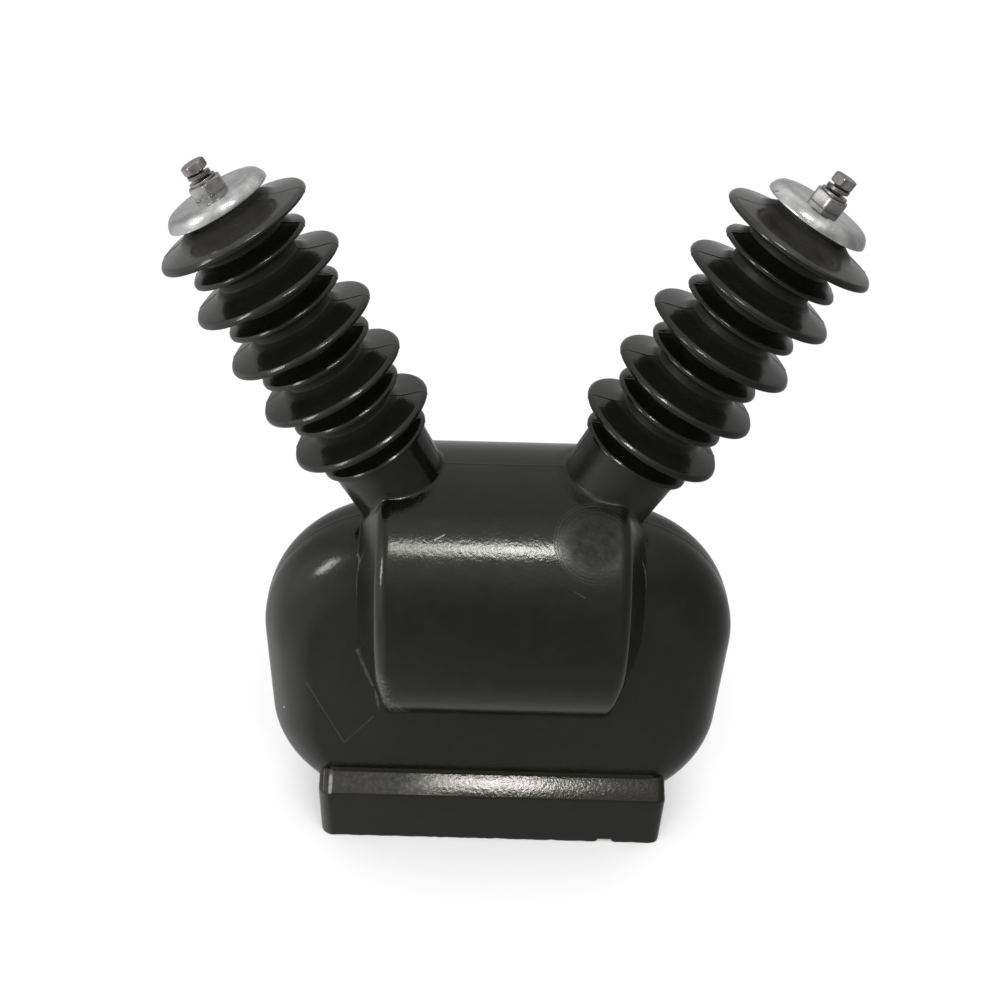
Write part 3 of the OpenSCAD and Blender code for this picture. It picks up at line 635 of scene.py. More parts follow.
def build_flash():
    """Thin raised lines left by the mould where the barrel's ends meet the casing's faces."""
    v, f = [], []
    n = 8
    seed = np.random.default_rng(17)
    for sx in (-1, 1):
        for sy in (-1, 1):
            zs = np.linspace(269.0, 151.0, 130)
            lo, hi = np.full(len(zs), 60.0), np.full(len(zs), 112.0)
            yy = np.full(len(zs), 42.0)
            for _ in range(40):
                mid = (lo + hi) / 2
                inside = sd_barrel(mid, yy, zs) < 0
                lo = np.where(inside, mid, lo); hi = np.where(inside, hi, mid)
            c = np.stack([sx * lo, sy * yy, zs], 1)
            t = np.gradient(c, axis=0); t /= np.linalg.norm(t, axis=1, keepdims=True)
            a = np.array([0.0, 1.0, 0.0]); b = np.cross(t, a)
            s = np.linspace(0, 1, len(zs))
            ph = seed.uniform(0, 6.28, 4)
            rad = 0.42 + 0.12 * np.sin(s * 31 + ph[0]) + 0.09 * np.sin(s * 73 + ph[1]) + 0.06 * np.sin(s * 151 + ph[2])
            rad = np.maximum(rad, 0.15) * np.clip(np.minimum(s, 1 - s) * 22, 0.12, 1)
            w = np.linspace(0, 2 * math.pi, n, endpoint=False)
            P = c[:, None] + rad[:, None, None] * (np.cos(w)[None, :, None] * a + np.sin(w)[None, :, None] * b[:, None])
            o = sum(len(q) for q in v)
            v.append(P.reshape(-1, 3))
            k = [tuple(int(i) + o for i in r) for r in grid_faces(len(zs), n)]
            k += [tuple(o + i for i in reversed(range(n))), tuple(o + (len(zs) - 1) * n + i for i in range(n))]
            f += k if sx * sy > 0 else k
    return mesh_object("resin_flash_lines", np.concatenate(v), f, MAT["resin_worn"], angle=60)


def fillet_path(pts, seg=5):
    """Polyline from corner points [x, y, radius], each corner rounded by an arc of its radius."""
    out = []
    P = [np.array(p[:2], float) for p in pts]
    for i, p in enumerate(pts):
        r = p[2] if len(p) > 2 else 0
        if r <= 0 or i in (0, len(pts) - 1):
            out.append(P[i]); continue
        a, b = P[i - 1] - P[i], P[i + 1] - P[i]
        la, lb = np.linalg.norm(a), np.linalg.norm(b)
        a, b = a / la, b / lb
        ang = math.acos(max(-1, min(1, float(a @ b))))
        t = min(r / math.tan(ang / 2), la * 0.49, lb * 0.49)
        r2 = t * math.tan(ang / 2)
        c = P[i] + (a + b) / np.linalg.norm(a + b) * (r2 / math.sin(ang / 2))
        s, e = P[i] + a * t, P[i] + b * t
        a0 = math.atan2(*(s - c)[::-1]); a1 = math.atan2(*(e - c)[::-1])
        d = (a1 - a0 + math.pi) % (2 * math.pi) - math.pi
        k = p[3] if len(p) > 3 else seg
        for j in range(k + 1):
            w = a0 + d * j / k
            out.append(c + r2 * np.array([math.cos(w), math.sin(w)]))
    return np.array(out)


def refine(path, step):
    out = [path[0]]
    for a, b in zip(path[:-1], path[1:]):
        n = max(1, int(math.ceil(np.linalg.norm(b - a) / step)))
        for i in range(1, n + 1):
            out.append(a + (b - a) * i / n)
    return np.array(out)


def path_normals(path):
    """Unit normals on the right-hand side of a path, which is outwards for a lathe profile that runs upwards."""
    d = np.gradient(path, axis=0)
    n = np.stack([d[:, 1], -d[:, 0]], 1)
    return n / np.maximum(np.linalg.norm(n, axis=1, keepdims=True), 1e-9)


def lathe(name, path, side, mat, angles, warp=None, place=on_axis, cap_ends=True, angle=None):
    m, k = len(path), len(angles)
    a = np.asarray(angles)
    nrm = path_normals(path)
    P = np.stack([path[:, None, 0] * np.cos(a), path[:, None, 0] * np.sin(a), np.repeat(path[:, None, 1], k, 1)], -1)
    N = np.stack([nrm[:, None, 0] * np.cos(a), nrm[:, None, 0] * np.sin(a), np.repeat(nrm[:, None, 1], k, 1)], -1)
    if warp is not None:
        P = P + N * warp(P, N, path)[..., None]
    v = P.reshape(-1, 3)
    f = [tuple(r) for r in grid_faces(m, k)]
    if cap_ends:
        v = np.concatenate([v, [[0, 0, path[0, 1]], [0, 0, path[-1, 1]]]])
        b, t = len(v) - 2, len(v) - 1
        f += [(b, (j + 1) % k, j) for j in range(k)]
        f += [(t, (m - 1) * k + j, (m - 1) * k + (j + 1) % k) for j in range(k)]
    v = place(v, side)
    if side < 0:
        f = [tuple(reversed(r)) for r in f]
    return mesh_object(name, v, f, mat, angle=angle)


def bushing_path():
    pts = [(32.2, -27.0, 0), (32.6, -20.2, 0.3)]
    for k in range(5):
        for r, t, up, down in ((SMALL_R, PITCH * (k - 0.5) + 0.9, 4.6, 3.4), (BIG_R, PITCH * k, 6.4, 3.8)):
            if k > 0 or r == BIG_R:
                f = 6.0 if r == BIG_R else 4.0
                pts += [(CORE_R + f * (1 - math.cos(w)), t - down - f + f * math.sin(w)) for w in np.radians(np.linspace(0, 88, 8))]
            # underside with a sharp lower edge, then a rounded rim and the upper face, slightly hollow towards the core
            if r == BIG_R:
                pts += [(r - 1.6, t - RIM_R, 0.5, 3), (r, t - 1.75, 0.7, 4), (r, t, 2.6, 6), (r - 1.7, t + RIM_R - 0.2, 2.2, 5)]
            else:
                pts += [(r - 1.2, t - 1.9, 0.4, 3), (r, t - 1.4, 0.6, 4), (r, t + 0.1, 1.8, 5), (r - 1.3, t + 1.75, 1.6, 4)]
            pts.append((CORE_R + 6.5, t + up - 1.3, 14.0, 4))
            pts.append((CORE_R, t + up + 2.0, 1.2, 4))
    pts += [(24.0, PITCH * 4 + 9.4, 1.0), (22.0, PITCH * 4 + 11, 0.6), (22.0, STUB_T - 0.8, 0.5), (21.0, STUB_T, 0)]
    return refine(fillet_path(pts), 4.0)


def seam_angles(n=150):
    a = list(np.linspace(0, 2 * math.pi, n, endpoint=False))
    for c in (0.0, math.pi):
        for d in (0.3, 0.6, 0.95, 1.4):
            a += [c + math.radians(d), c - math.radians(d)]
    return sorted({round(x % (2 * math.pi), 9) for x in a})


def build_bushing(side, name):
    path = bushing_path()
    seed = np.random.default_rng(11 + side)
    ph = seed.uniform(0, 6.28, 6)

    def warp(P, N, path):
        y, a, t = P[..., 1], np.arctan2(P[..., 1], P[..., 0]), P[..., 2]
        ridge = 0.28 * np.exp(-(y / 0.42) ** 2)
        # moulding is never a perfect lathe: rims wander by a fraction of a millimetre
        wob = 0.10 * np.sin(2 * a + ph[0] + t * 0.03) + 0.07 * np.sin(3 * a + ph[1] + t * 0.11) + 0.04 * np.sin(7 * a + ph[2] - t * 0.2)
        out = ridge + wob * np.clip((np.hypot(P[..., 0], P[..., 1]) - 26) / 12, 0, 1) - 0.12
        return out * (t > -20.5) * (t < 156)

    return lathe(name, path, side, MAT["resin_shed"], seam_angles(), warp)


# ------------------------------------------------------------------ terminals
def cap_path():
    low = fillet_path([(4.3, STUB_T + 0.05, 0), (25.0, STUB_T + 0.05, 0.4), (27.4, STUB_T - 0.3, 2.4, 5), (29.7, STUB_T - 2.2, 1.6, 5), (30.5, 161.1, 0.3, 2),
                       (30.8, 160.15, 0.25, 3), (31.93, 160.15, 0.3, 3), (31.95, 161.0, 0.5)])
    # pressed dome: a nearly flat crown that rolls over in a soft shoulder
    w = np.radians(np.linspace(2.0, 89.0, 40))
    dome = np.stack([31.96 * np.cos(w) ** (1 / 6.0), 161.0 + 6.78 * np.sin(w) ** 1.60], 1)
    top = np.array([(9.0, CAP_T - 0.02), (4.3, CAP_T - 0.02)])
    return refine(np.concatenate([low[:-1], dome[dome[:, 0] > 9.6], top]), 1.6)


def build_cap(side, name):
    seed = np.random.default_rng(31 + side)
    dents = [(seed.uniform(0, 2 * math.pi), seed.uniform(17, 29), seed.uniform(1.2, 3.5), seed.uniform(0.04, 0.16)) for _ in range(16)]
    pit = (math.radians(172), 27.0) if side < 0 else (math.radians(-160), 25.0)

    def warp(P, N, path):
        out = np.zeros(P.shape[:2])
        top = P[..., 2] > 161.5
        a = np.arctan2(P[..., 1], P[..., 0])
        out += 0.06 * np.sin(2 * a + seed.uniform(0, 6)) + 0.04 * np.sin(5 * a + 1.0)
        for w, r, s, d in dents:
            q = (P[..., 0] - r * math.cos(w)) ** 2 + (P[..., 1] - r * math.sin(w)) ** 2
            out -= d * np.exp(-q / (2 * s * s)) * top
        q = (P[..., 0] - pit[1] * math.cos(pit[0])) ** 2 + (P[..., 1] - pit[1] * math.sin(pit[0])) ** 2
        out -= 0.75 * np.exp(-q / 1.0) * top
        return np.minimum(out, 0.0) - 0.02

    path = cap_path()
    ang = np.linspace(0, 2 * math.pi, 180, endpoint=False)
    # closed ring section: the last profile point joins the first through the bolt hole
    m, k = len(path), len(ang)
    nrm = path_normals(path)
    P = np.stack([path[:, None, 0] * np.cos(ang), path[:, None, 0] * np.sin(ang), np.repeat(path[:, None, 1], k, 1)], -1)
    N = np.stack([nrm[:, None, 0] * np.cos(ang), nrm[:, None, 0] * np.sin(ang), np.repeat(nrm[:, None, 1], k, 1)], -1)
    P = P + N * warp(P, N, path)[..., None]
    v = on_axis(P.reshape(-1, 3), side)
    f = grid_faces(m, k, wrap_rows=True, flip=side < 0)
    return mesh_object(name, v, f, MAT["cap_metal"], angle=50)


def hex_radius(a, af, turn, soft=0.25):
    """Distance to a hexagon's side in direction a, with sharp corners."""
    w = (a - turn + math.pi / 6) % (math.pi / 3) - math.pi / 6
    return (af / 2) / np.cos(w), w


def hex_piece(name, side, mat, af, t0, h, turn, chamf_top, chamf_low, hole=None, crown=0.0, place=on_axis):
    """Hexagonal block about the axis with turned chamfers, softened corners and an optional bore."""
    R = af / 2 / math.cos(math.pi / 6)
    a = []
    for i in range(6):
        c = turn + math.pi / 6 + i * math.pi / 3
        a += [c - math.radians(d) for d in (3.2, 1.8, 0.8)] + [c] + [c + math.radians(d) for d in (0.8, 1.8, 3.2)]
        a += [c + math.radians(d) for d in np.linspace(8, 52, 8)]
    a = np.array(sorted(x % (2 * math.pi) for x in a))
    rad, w = hex_radius(a, af, turn)
    rad = np.minimum(rad, R - 0.28 - 0.0 * w)
    hs = [0.0, 0.12, 0.35, 0.8, 1.3, h / 2, h - 1.5, h - 1.0, h - 0.6, h - 0.3, h - 0.1, h]
    rows = []
    for z in hs:
        lim = 99.0
        if chamf_low > 0:
            lim = min(lim, (af / 2 - 0.25) + (z + 0.02) * (R - af / 2 + 0.3) / chamf_low)
        if chamf_top > 0:
            lim = min(lim, (af / 2 - 0.35) + (h - z + 0.02) * (R - af / 2 + 0.4) / chamf_top)
        rr = np.minimum(rad, lim) - (0.10 if z in (0.0, h) else 0.03 if z in (0.12, h - 0.1) else 0)
        rows.append(np.stack([rr * np.cos(a), rr * np.sin(a), np.full(len(a), z + t0)], 1))
    inner = hole if hole else 0.05
    top_r = [af / 2 - 0.8, af / 2 - 2.2, inner + 0.35, inner] if hole else [af / 2 - 0.8, af / 2 - 2.2, af / 4, 0.4]
    for j, r in enumerate(top_r):
        z = h + (crown * (1 - (r / (af / 2)) ** 2) if not hole else 0) - (0.35 if hole and j == 3 else 0)
        rows.append(np.stack([r * np.cos(a), r * np.sin(a), np.full(len(a), z + t0)], 1))
    if hole:
        rows.append(np.stack([inner * np.cos(a), inner * np.sin(a), np.full(len(a), t0 + 0.3)], 1))
        rows.append(np.stack([(inner + 0.3) * np.cos(a), (inner + 0.3) * np.sin(a), np.full(len(a), t0)], 1))
    m, k = len(rows), len(a)
    v = np.concatenate(rows)
    f = [tuple(r) for r in grid_faces(m, k, wrap_rows=bool(hole))]
    if not hole:
        v = np.concatenate([v, [[0, 0, t0], [0, 0, t0 + h + crown]]])
        b, t = len(v) - 2, len(v) - 1
        f += [(b, (j + 1) % k, j) for j in range(k)] + [(t, (m - 1) * k + j, (m - 1) * k + (j + 1) % k) for j in range(k)]
    v = place(v, side)
    if side < 0:
        f = [tuple(reversed(r)) for r in f]
    return mesh_object(name, v, f, mat, angle=22)


def ring_piece(name, side, mat, ro, ri, t0, h, edge=0.25, place=on_axis, n=96, tilt=0.0):
    path = np.array([(ri + edge, t0), (ro - edge, t0), (ro - edge * 0.3, t0 + edge * 0.3), (ro, t0 + edge), (ro, t0 + h - edge),
                     (ro - edge * 0.3, t0 + h - edge * 0.3), (ro - edge, t0 + h), (ri + edge, t0 + h), (ri, t0 + h - edge), (ri, t0 + edge)])
    a = np.linspace(0, 2 * math.pi, n, endpoint=False)
    P = np.stack([path[:, None, 0] * np.cos(a), path[:, None, 0] * np.sin(a), np.repeat(path[:, None, 1], n, 1)], -1).reshape(-1, 3)
    P[:, 2] += tilt * P[:, 0] / ro
    v = place(P, side)
    return mesh_object(name, v, grid_faces(len(path), n, wrap_rows=True, flip=side < 0), mat, angle=35)


def spring_piece(name, side, mat, ro, ri, t0, wire, free, start=40.0, turn=346.0, n=84, place=on_axis):
    e = 0.22
    sec = [(ri + e, 0), (ro - e, 0), (ro, e), (ro, wire - e), (ro - e, wire), (ri + e, wire), (ri, wire - e), (ri, e)]
    v = []
    for i in range(n + 1):
        w = math.radians(start + turn * i / n); z = (free - wire) * i / n
        for r, s in sec:
            v.append((r * math.cos(w), r * math.sin(w), t0 + z + s))
    v = place(np.array(v), side)
    k = len(sec)
    f = []
    for i in range(n):
        for j in range(k):
            f.append((k * i + j, k * (i + 1) + j, k * (i + 1) + (j + 1) % k, k * i + (j + 1) % k))
    f.append(tuple(range(k))); f.append(tuple(reversed(range(k * n, k * n + k))))
    f = [tuple(reversed(r)) for r in f]
    if side < 0:
        f = [tuple(reversed(r)) for r in f]
    return mesh_object(name, v, f, mat, angle=30)


def thread_piece(name, side, mat, d, pitch, t0, t1, place=on_axis, n=40):
    """A bolt's threaded shank, with a real helical thread."""
    step = pitch / 10
    m = int((t1 - t0) / step) + 1
    z = np.linspace(t0, t1, m)
    a = np.linspace(0, 2 * math.pi, n, endpoint=False)
    Z, A = np.meshgrid(z, a, indexing="ij")
    ph = (Z / pitch - A / (2 * math.pi)) % 1.0
    tri = np.abs(ph * 2 - 1)
    depth = np.clip((tri - 0.10) / 0.72, 0, 1)
    fade = np.clip((Z - t0) / 1.2, 0, 1)
    R = d / 2 - 0.05 - (1 - depth) * 0.62 * 1.0 - (1 - fade) * 0.7
    P = np.stack([R * np.cos(A), R * np.sin(A), Z], -1).reshape(-1, 3)
    P = np.concatenate([P, [[0, 0, t0], [0, 0, t1]]])
    b, t = len(P) - 2, len(P) - 1
    f = [tuple(r) for r in grid_faces(m, n)] + [(b, (j + 1) % n, j) for j in range(n)] + [(t, (m - 1) * n + j, (m - 1) * n + (j + 1) % n) for j in range(n)]
    v = place(P, side)
    if side < 0:
        f = [tuple(reversed(r)) for r in f]
    return mesh_object(name, v, f, mat, angle=60)


# ------------------------------------------------------------------ plinth
def apply_boolean(ob, cutters, op="DIFFERENCE"):
    for c in cutters:
        md = ob.modifiers.new("cut", "BOOLEAN"); md.operation = op; md.object = c; md.solver = "EXACT"
    dg = bpy.context.evaluated_depsgraph_get()
    me = bpy.data.meshes.new_from_object(ob.evaluated_get(dg))
    ob.modifiers.clear()
    old = ob.data; ob.data = me; bpy.data.meshes.remove(old)
    for c in cutters:
        d = c.data; bpy.data.objects.remove(c); bpy.data.meshes.remove(d)
    return ob


def raw_object(name, verts, faces):
    me = bpy.data.meshes.new(name)
    me.from_pydata([tuple(np.array(p) * MM) for p in verts], [], [tuple(int(i) for i in f) for f in faces])
    me.update()
    ob = bpy.data.objects.new(name, me)
    bpy.context.scene.collection.objects.link(ob)
    return ob


def cylinder_cutter(cx, cy, z0, z1, r, n=72, axis="z"):
    a = np.linspace(0, 2 * math.pi, n, endpoint=False)
    v = [(cx + r * math.cos(w), cy + r * math.sin(w), z) for z in (z0, z1) for w in a]
    f = [(j, (j + 1) % n, n + (j + 1) % n, n + j) for j in range(n)] + [tuple(reversed(range(n))), tuple(range(n, 2 * n))]
    return raw_object("cutter", v, f)


def plinth_profile(d, x):
    """Half ring of the plinth's section at inset d, from the underside's middle up the front to the top's middle."""
    hyp = math.hypot(8.9, 13.7); ny, nz = 8.9 / hyp, 13.7 / hyp
    fy = -57.0 + d
    cz = 49.0 - d * (1 - ny) / nz
    ty = -42.25 + d / ny
    low = (fy, 0.0)
    crease = (fy, cz)
    pts = [(-20.0, 0.0, 0), (fy + 12.0, 0.0, 0), (low[0], low[1], 0.9, 4), (fy, 2.6, 0), (fy, 4.2, 0), (fy, 12.0, 0), (fy, cz - 5.0, 0), (fy, cz - 2.6, 0), (crease[0], crease[1], 1.5, 5), (ty, 58.6, 0.7, 3), (min(ty + 8, -12.0), 58.6, 0), (-8.0, 58.6, 0)]
    p = fillet_path(pts)
    return p


def build_plinth():
    hw, rl, rr = 131.0, 9.5, 7.0
    def inset(x):
        r = rl if x < 0 else rr
        u = abs(x) - (hw - r)
        return 0.0 if u <= 0 else r - math.sqrt(max(r * r - u * u, 0.0))
    xs = []
    for s, r in ((-1, rl), (1, rr)):
        xs += [s * (hw - r + r * math.sin(w)) for w in np.radians([0.0, 2, 5, 10, 16, 23, 31, 40, 49, 58, 67, 76, 84, 90])]
        xs += [s * (hw - r - 0.6), s * (hw - r - 2.0)]
    xs += list(np.linspace(-118, 78, 66)) + list(np.linspace(79, 98, 34)) + list(np.linspace(101, 120.5, 7))
    xs = np.array(sorted(set(round(x, 4) for x in xs)))
    seed = np.random.default_rng(5)
    ph = seed.uniform(0, 6.28, 8)
    rings = []
    for x in xs:
        p = plinth_profile(inset(x), x)
        q = np.array([(x, y, z) for y, z in p])
        # ragged mould flash and small nicks along the front lower edge
        near = np.exp(-((q[:, 1] - q[:, 1].min()) / 1.6) ** 2) * np.exp(-(q[:, 2] / 1.3) ** 2)
        rag = 0.16 + 0.14 * math.sin(x * 0.31 + ph[0]) + 0.10 * math.sin(x * 0.83 + ph[1]) + 0.07 * math.sin(x * 2.1 + ph[2])
        for cx, w, h in ((88.4, 5.6, 2.5), (-43.0, 1.6, 0.5), (6.0, 2.2, 0.45), (-2.5, 1.2, 0.35), (47.0, 1.8, 0.5), (112.0, 1.2, 0.4)):
            rag += h * (1 / (1 + ((x - cx) / w) ** 8)) * (1 + 0.25 * math.sin(x * 2.7))
        q[:, 2] += near * max(rag, 0.0)
        q[:, 1] += near * max(rag, 0.0) * 0.5
        back = q[::-1].copy(); back[:, 1] *= -1
        rings.append((q, back))
    full = []
    for q, back in rings:
        clean = np.array([(q[0][0], y, z) for y, z in plinth_profile(inset(q[0][0]), 0)])[::-1]
        clean[:, 1] *= -1
        full.append(np.concatenate([q, clean]))
    k = len(full[0]); m = len(full)
    v = np.concatenate(full)
    f = [tuple(r) for r in grid_faces(m, k)]
    f.append(tuple(reversed(range(k)))); f.append(tuple(range((m - 1) * k, m * k)))
    f = [tuple(reversed(r)) for r in f]
    ob = raw_object("resin_plinth", v, f)
    cut = [cylinder_cutter(sx * 105, sy * 38, -3, 24.2, 9.02) for sx in (-1, 1) for sy in (-1, 1)]
    apply_boolean(ob, cut)
    me = ob.data
    me.polygons.foreach_set("use_smooth", np.ones(len(me.polygons), bool))
    me.set_sharp_from_angle(angle=math.radians(35))
    me.materials.clear(); me.materials.append(MAT["resin_plinth"])
    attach(ob, "root")
    return ob


# ------------------------------------------------------------------ secondary terminal box
def rounded_rect(a, b, r, n=8, m=7):
    out = []
    for qx, qy, w0 in ((1, 1, 0), (-1, 1, 90), (-1, -1, 180), (1, -1, 270)):
        c = np.array([qx * (a - r), qy * (b - r)])
        for i in range(n + 1):
            w = math.radians(w0 + 90 * i / n)
            out.append(c + r * np.array([math.cos(w), math.sin(w)]))
        nxt = {0: (-(a - r), b), 90: (-a, -(b - r)), 180: (a - r, -b), 270: (a, b - r)}[w0]
        s = out[-1]
        for j in range(1, m):
            out.append(s + (np.array(nxt) - s) * j / m)
    return np.array(out)


def stack_piece(name, mat, levels, place, angle=40, flip=False):
    """Closed solid from rounded-rectangle rings: levels are (half a, half b, corner radius, height)."""
    rings = []
    for a, b, r, h in levels:
        o = rounded_rect(a, b, max(min(r, a - 0.01, b - 0.01), 0.02))
        rings.append(np.concatenate([o, np.full((len(o), 1), h)], 1))
    k, m = len(rings[0]), len(rings)
    v = np.concatenate(rings)
    f = [tuple(r) for r in grid_faces(m, k)]
    f.append(tuple(reversed(range(k)))); f.append(tuple(range((m - 1) * k, m * k)))
    if flip:
        f = [tuple(reversed(r)) for r in f]
    return mesh_object(name, place(v), f, mat, angle=angle)


def edge_levels(a, b, r, z0, z1, e0, e1, n=4):
    """Rings of a block from z0 to z1 with rounded lower (e0) and upper (e1) edges."""
    out = []
    for i in range(n + 1):
        w = math.radians(90 * i / n)
        d = e0 * (1 - math.sin(w))
        out.append((a - d, b - d, r - d * 0.5, z0 + e0 * (1 - math.cos(w))))
    out.append((a, b, r, z0 + e0 + 0.4)); out.append((a, b, r, z1 - e1 - 0.4))
    for i in range(n + 1):
        w = math.radians(90 * i / n)
        d = e1 * (1 - math.cos(w))
        out.append((a - d, b - d, r - d * 0.5, z1 - e1 + e1 * math.sin(w)))
    return out


def build_housing():
    lv = edge_levels(52.0, 27.0, 6.0, 14.0, 106.0, 1.6, 2.2)
    lv = lv[:6] + [(52.0, 27.0, 6.0, z) for z in np.linspace(24, 96, 7)] + lv[6:]
    lv = [(4, 4, 1, 14.0)] + lv + [(47.0, 22.0, 4.0, 106.0), (4, 4, 1, 106.0)]
    return stack_piece("resin_box_housing", MAT["resin"], lv, lambda v: v + np.array([0, 57.0, 0]))


def on_cover(v):
    """Height becomes +Y from the box's rear face."""
    return np.stack([v[:, 0], 84.0 + v[:, 2], 60.0 - v[:, 1]], 1)


def build_cover():
    A, B = 53.0, 47.0
    lv = [(4, 4, 1, 2.0)] + edge_levels(A, B, 7.0, 2.0, 5.5, 0.3, 0.7)
    lv += [(A - 2.4, B - 2.4, 5.6, 5.5), (A - 15.4, B - 15.4, 6.4, 5.5), (A - 15.9, B - 15.9, 6.2, 5.7), (A - 16.15, B - 16.15, 6.0, 6.2),
           (A - 16.5, B - 16.5, 5.8, 6.9), (A - 16.9, B - 16.9, 5.5, 7.3), (A - 17.6, B - 17.6, 5.0, 7.5), (A - 19.5, B - 19.5, 4.0, 7.5), (6, 6, 1, 7.44)]
    return stack_piece("terminal_box_cover", MAT["cover_metal"], lv, on_cover, angle=28)


def build_gasket():
    lv = [(40, 36, 4, 0.0)] + edge_levels(51.5, 45.5, 5.0, 0.0, 2.0, 0.35, 0.35, 3) + [(40, 36, 4, 2.0)]
    return stack_piece("terminal_box_gasket", MAT["seal_rubber"], lv, on_cover, angle=28)


def build_screws():
    path = refine(fillet_path([(2.45, -10.0, 0), (2.45, -0.02, 0), (4.5, -0.02, 0.2), (4.6, 1.2, 0.5), (4.05, 2.4, 0.8), (2.4, 3.2, 1.2), (0.3, 3.3, 0)]), 0.7)
    seed = np.random.default_rng(23)
    parts = []
    for sx in (-1, 1):
        for z in (22.0, 98.0):
            a = np.linspace(0, 2 * math.pi, 48, endpoint=False)
            P = np.stack([path[:, None, 0] * np.cos(a), path[:, None, 0] * np.sin(a), np.repeat(path[:, None, 1], 48, 1)], -1).reshape(-1, 3)
            P = np.concatenate([P, [[0, 0, -10.0], [0, 0, 3.3]]])
            m, k = len(path), 48
            b, t = len(P) - 2, len(P) - 1
            f = [tuple(r) for r in grid_faces(m, k)] + [(b, (j + 1) % k, j) for j in range(k)] + [(t, (m - 1) * k + j, (m - 1) * k + (j + 1) % k) for j in range(k)]
            ob = raw_object("screw_part", P, f)
            w = seed.uniform(0, math.pi)
            c, s = math.cos(w), math.sin(w)
            box = [(x * c - y * s, x * s + y * c, h) for h in (1.9, 5.0) for x, y in ((-6, -0.6), (6, -0.6), (6, 0.6), (-6, 0.6))]
            cut = raw_object("cutter", box, [(3, 2, 1, 0), (4, 5, 6, 7), (0, 1, 5, 4), (1, 2, 6, 5), (2, 3, 7, 6), (3, 0, 4, 7)])
            apply_boolean(ob, [cut])
            n = len(ob.data.vertices); co = np.zeros(n * 3); ob.data.vertices.foreach_get("co", co); co = co.reshape(-1, 3) / MM
            parts.append((np.stack([sx * 44.0 + co[:, 0], 89.52 + co[:, 2], z - co[:, 1]], 1), [tuple(p.vertices) for p in ob.data.polygons]))
            d = ob.data; bpy.data.objects.remove(ob); bpy.data.meshes.remove(d)
    v, f, o = [], [], 0
    for pv, pf in parts:
        v.append(pv); f += [tuple(i + o for i in q) for q in pf]; o += len(pv)
    return mesh_object("terminal_box_screws", np.concatenate(v), f, MAT["fastener_steel"], angle=30)


# ------------------------------------------------------------------ cable gland, earth terminal, rating plate, inserts
def on_gland(p, side=1):
    p = np.asarray(p, float)
    return np.stack([52.0 + p[:, 2], 71.0 + p[:, 1], 42.0 - p[:, 0]], 1)


def on_earth(p, side=1):
    p = np.asarray(p, float)
    return np.stack([-84.0 + p[:, 0], 57.0 + p[:, 2], 24.0 - p[:, 1]], 1)


def hex_lathe(name, path, af, turn, mat, place, closed=False, flats=True, ribs=0):
    R = af / 2 / math.cos(math.pi / 6)
    a = []
    for i in range(6):
        c = turn + math.pi / 6 + i * math.pi / 3
        a += [c + math.radians(d) for d in (-2.4, -0.9, 0, 0.9, 2.4)] + [c + math.radians(d) for d in np.linspace(6, 54, 9)]
    a = np.array(sorted(x % (2 * math.pi) for x in a))
    w = (a - turn + math.pi / 6) % (math.pi / 3) - math.pi / 6
    lim = np.minimum(af / 2 / np.cos(w), R - 0.3)
    rows = []
    for r, z in path:
        rr = np.minimum(np.full(len(a), r), lim)
        rows.append(np.stack([rr * np.cos(a), rr * np.sin(a), np.full(len(a), z)], 1))
    v = np.concatenate(rows)
    m, k = len(path), len(a)
    f = [tuple(r) for r in grid_faces(m, k, wrap_rows=closed)]
    if not closed:
        v = np.concatenate([v, [[0, 0, path[0][1]], [0, 0, path[-1][1]]]])
        b, t = len(v) - 2, len(v) - 1
        f += [(b, (j + 1) % k, j) for j in range(k)] + [(t, (m - 1) * k + j, (m - 1) * k + (j + 1) % k) for j in range(k)]
    return mesh_object(name, place(v), f, mat, angle=24)


def build_gland():
    out = []
    path = refine(fillet_path([(9.9, -9.0, 0), (9.9, 0.0, 0), (13.9, 0.02, 0.2), (13.9, 4.9, 0.3), (12.1, 6.0, 0.4), (9.4, 6.0, 0.2), (9.4, 11.9, 0.3), (8.6, 12.0, 0)]), 2.0)
    out.append((hex_lathe("cable_gland_body", path, 24.0, math.radians(12), MAT["gland_plastic"], on_gland), "gland_body"))
    path = [(9.6, 7.2), (9.9, 6.35), (10.7, 6.25), (12.0, 6.35), (12.9, 7.0), (12.9, 14.6), (11.7, 15.6), (11.45, 17.2), (10.9, 18.8), (9.9, 20.2), (8.7, 21.1), (7.4, 21.2), (6.9, 20.9), (6.8, 19.5), (6.8, 10.0), (8.2, 9.0)]
    out.append((hex_lathe("cable_gland_nut", path, 22.0, math.radians(2), MAT["gland_plastic"], on_gland, closed=True), "gland_nut"))
    path = np.array([(4.9, -3.9), (6.0, -3.9), (6.4, -3.4), (6.4, 19.0), (6.1, 19.9), (5.5, 20.1), (4.8, 19.9), (4.5, 19.2), (4.5, 10.0), (4.5, -3.2)])
    a = np.linspace(0, 2 * math.pi, 72, endpoint=False)
    P = np.stack([path[:, None, 0] * np.cos(a), path[:, None, 0] * np.sin(a), np.repeat(path[:, None, 1], 72, 1)], -1).reshape(-1, 3)
    out.append((mesh_object("cable_gland_seal", on_gland(P), grid_faces(len(path), 72, wrap_rows=True), MAT["seal_rubber"], angle=40), "gland_seal"))
    return out


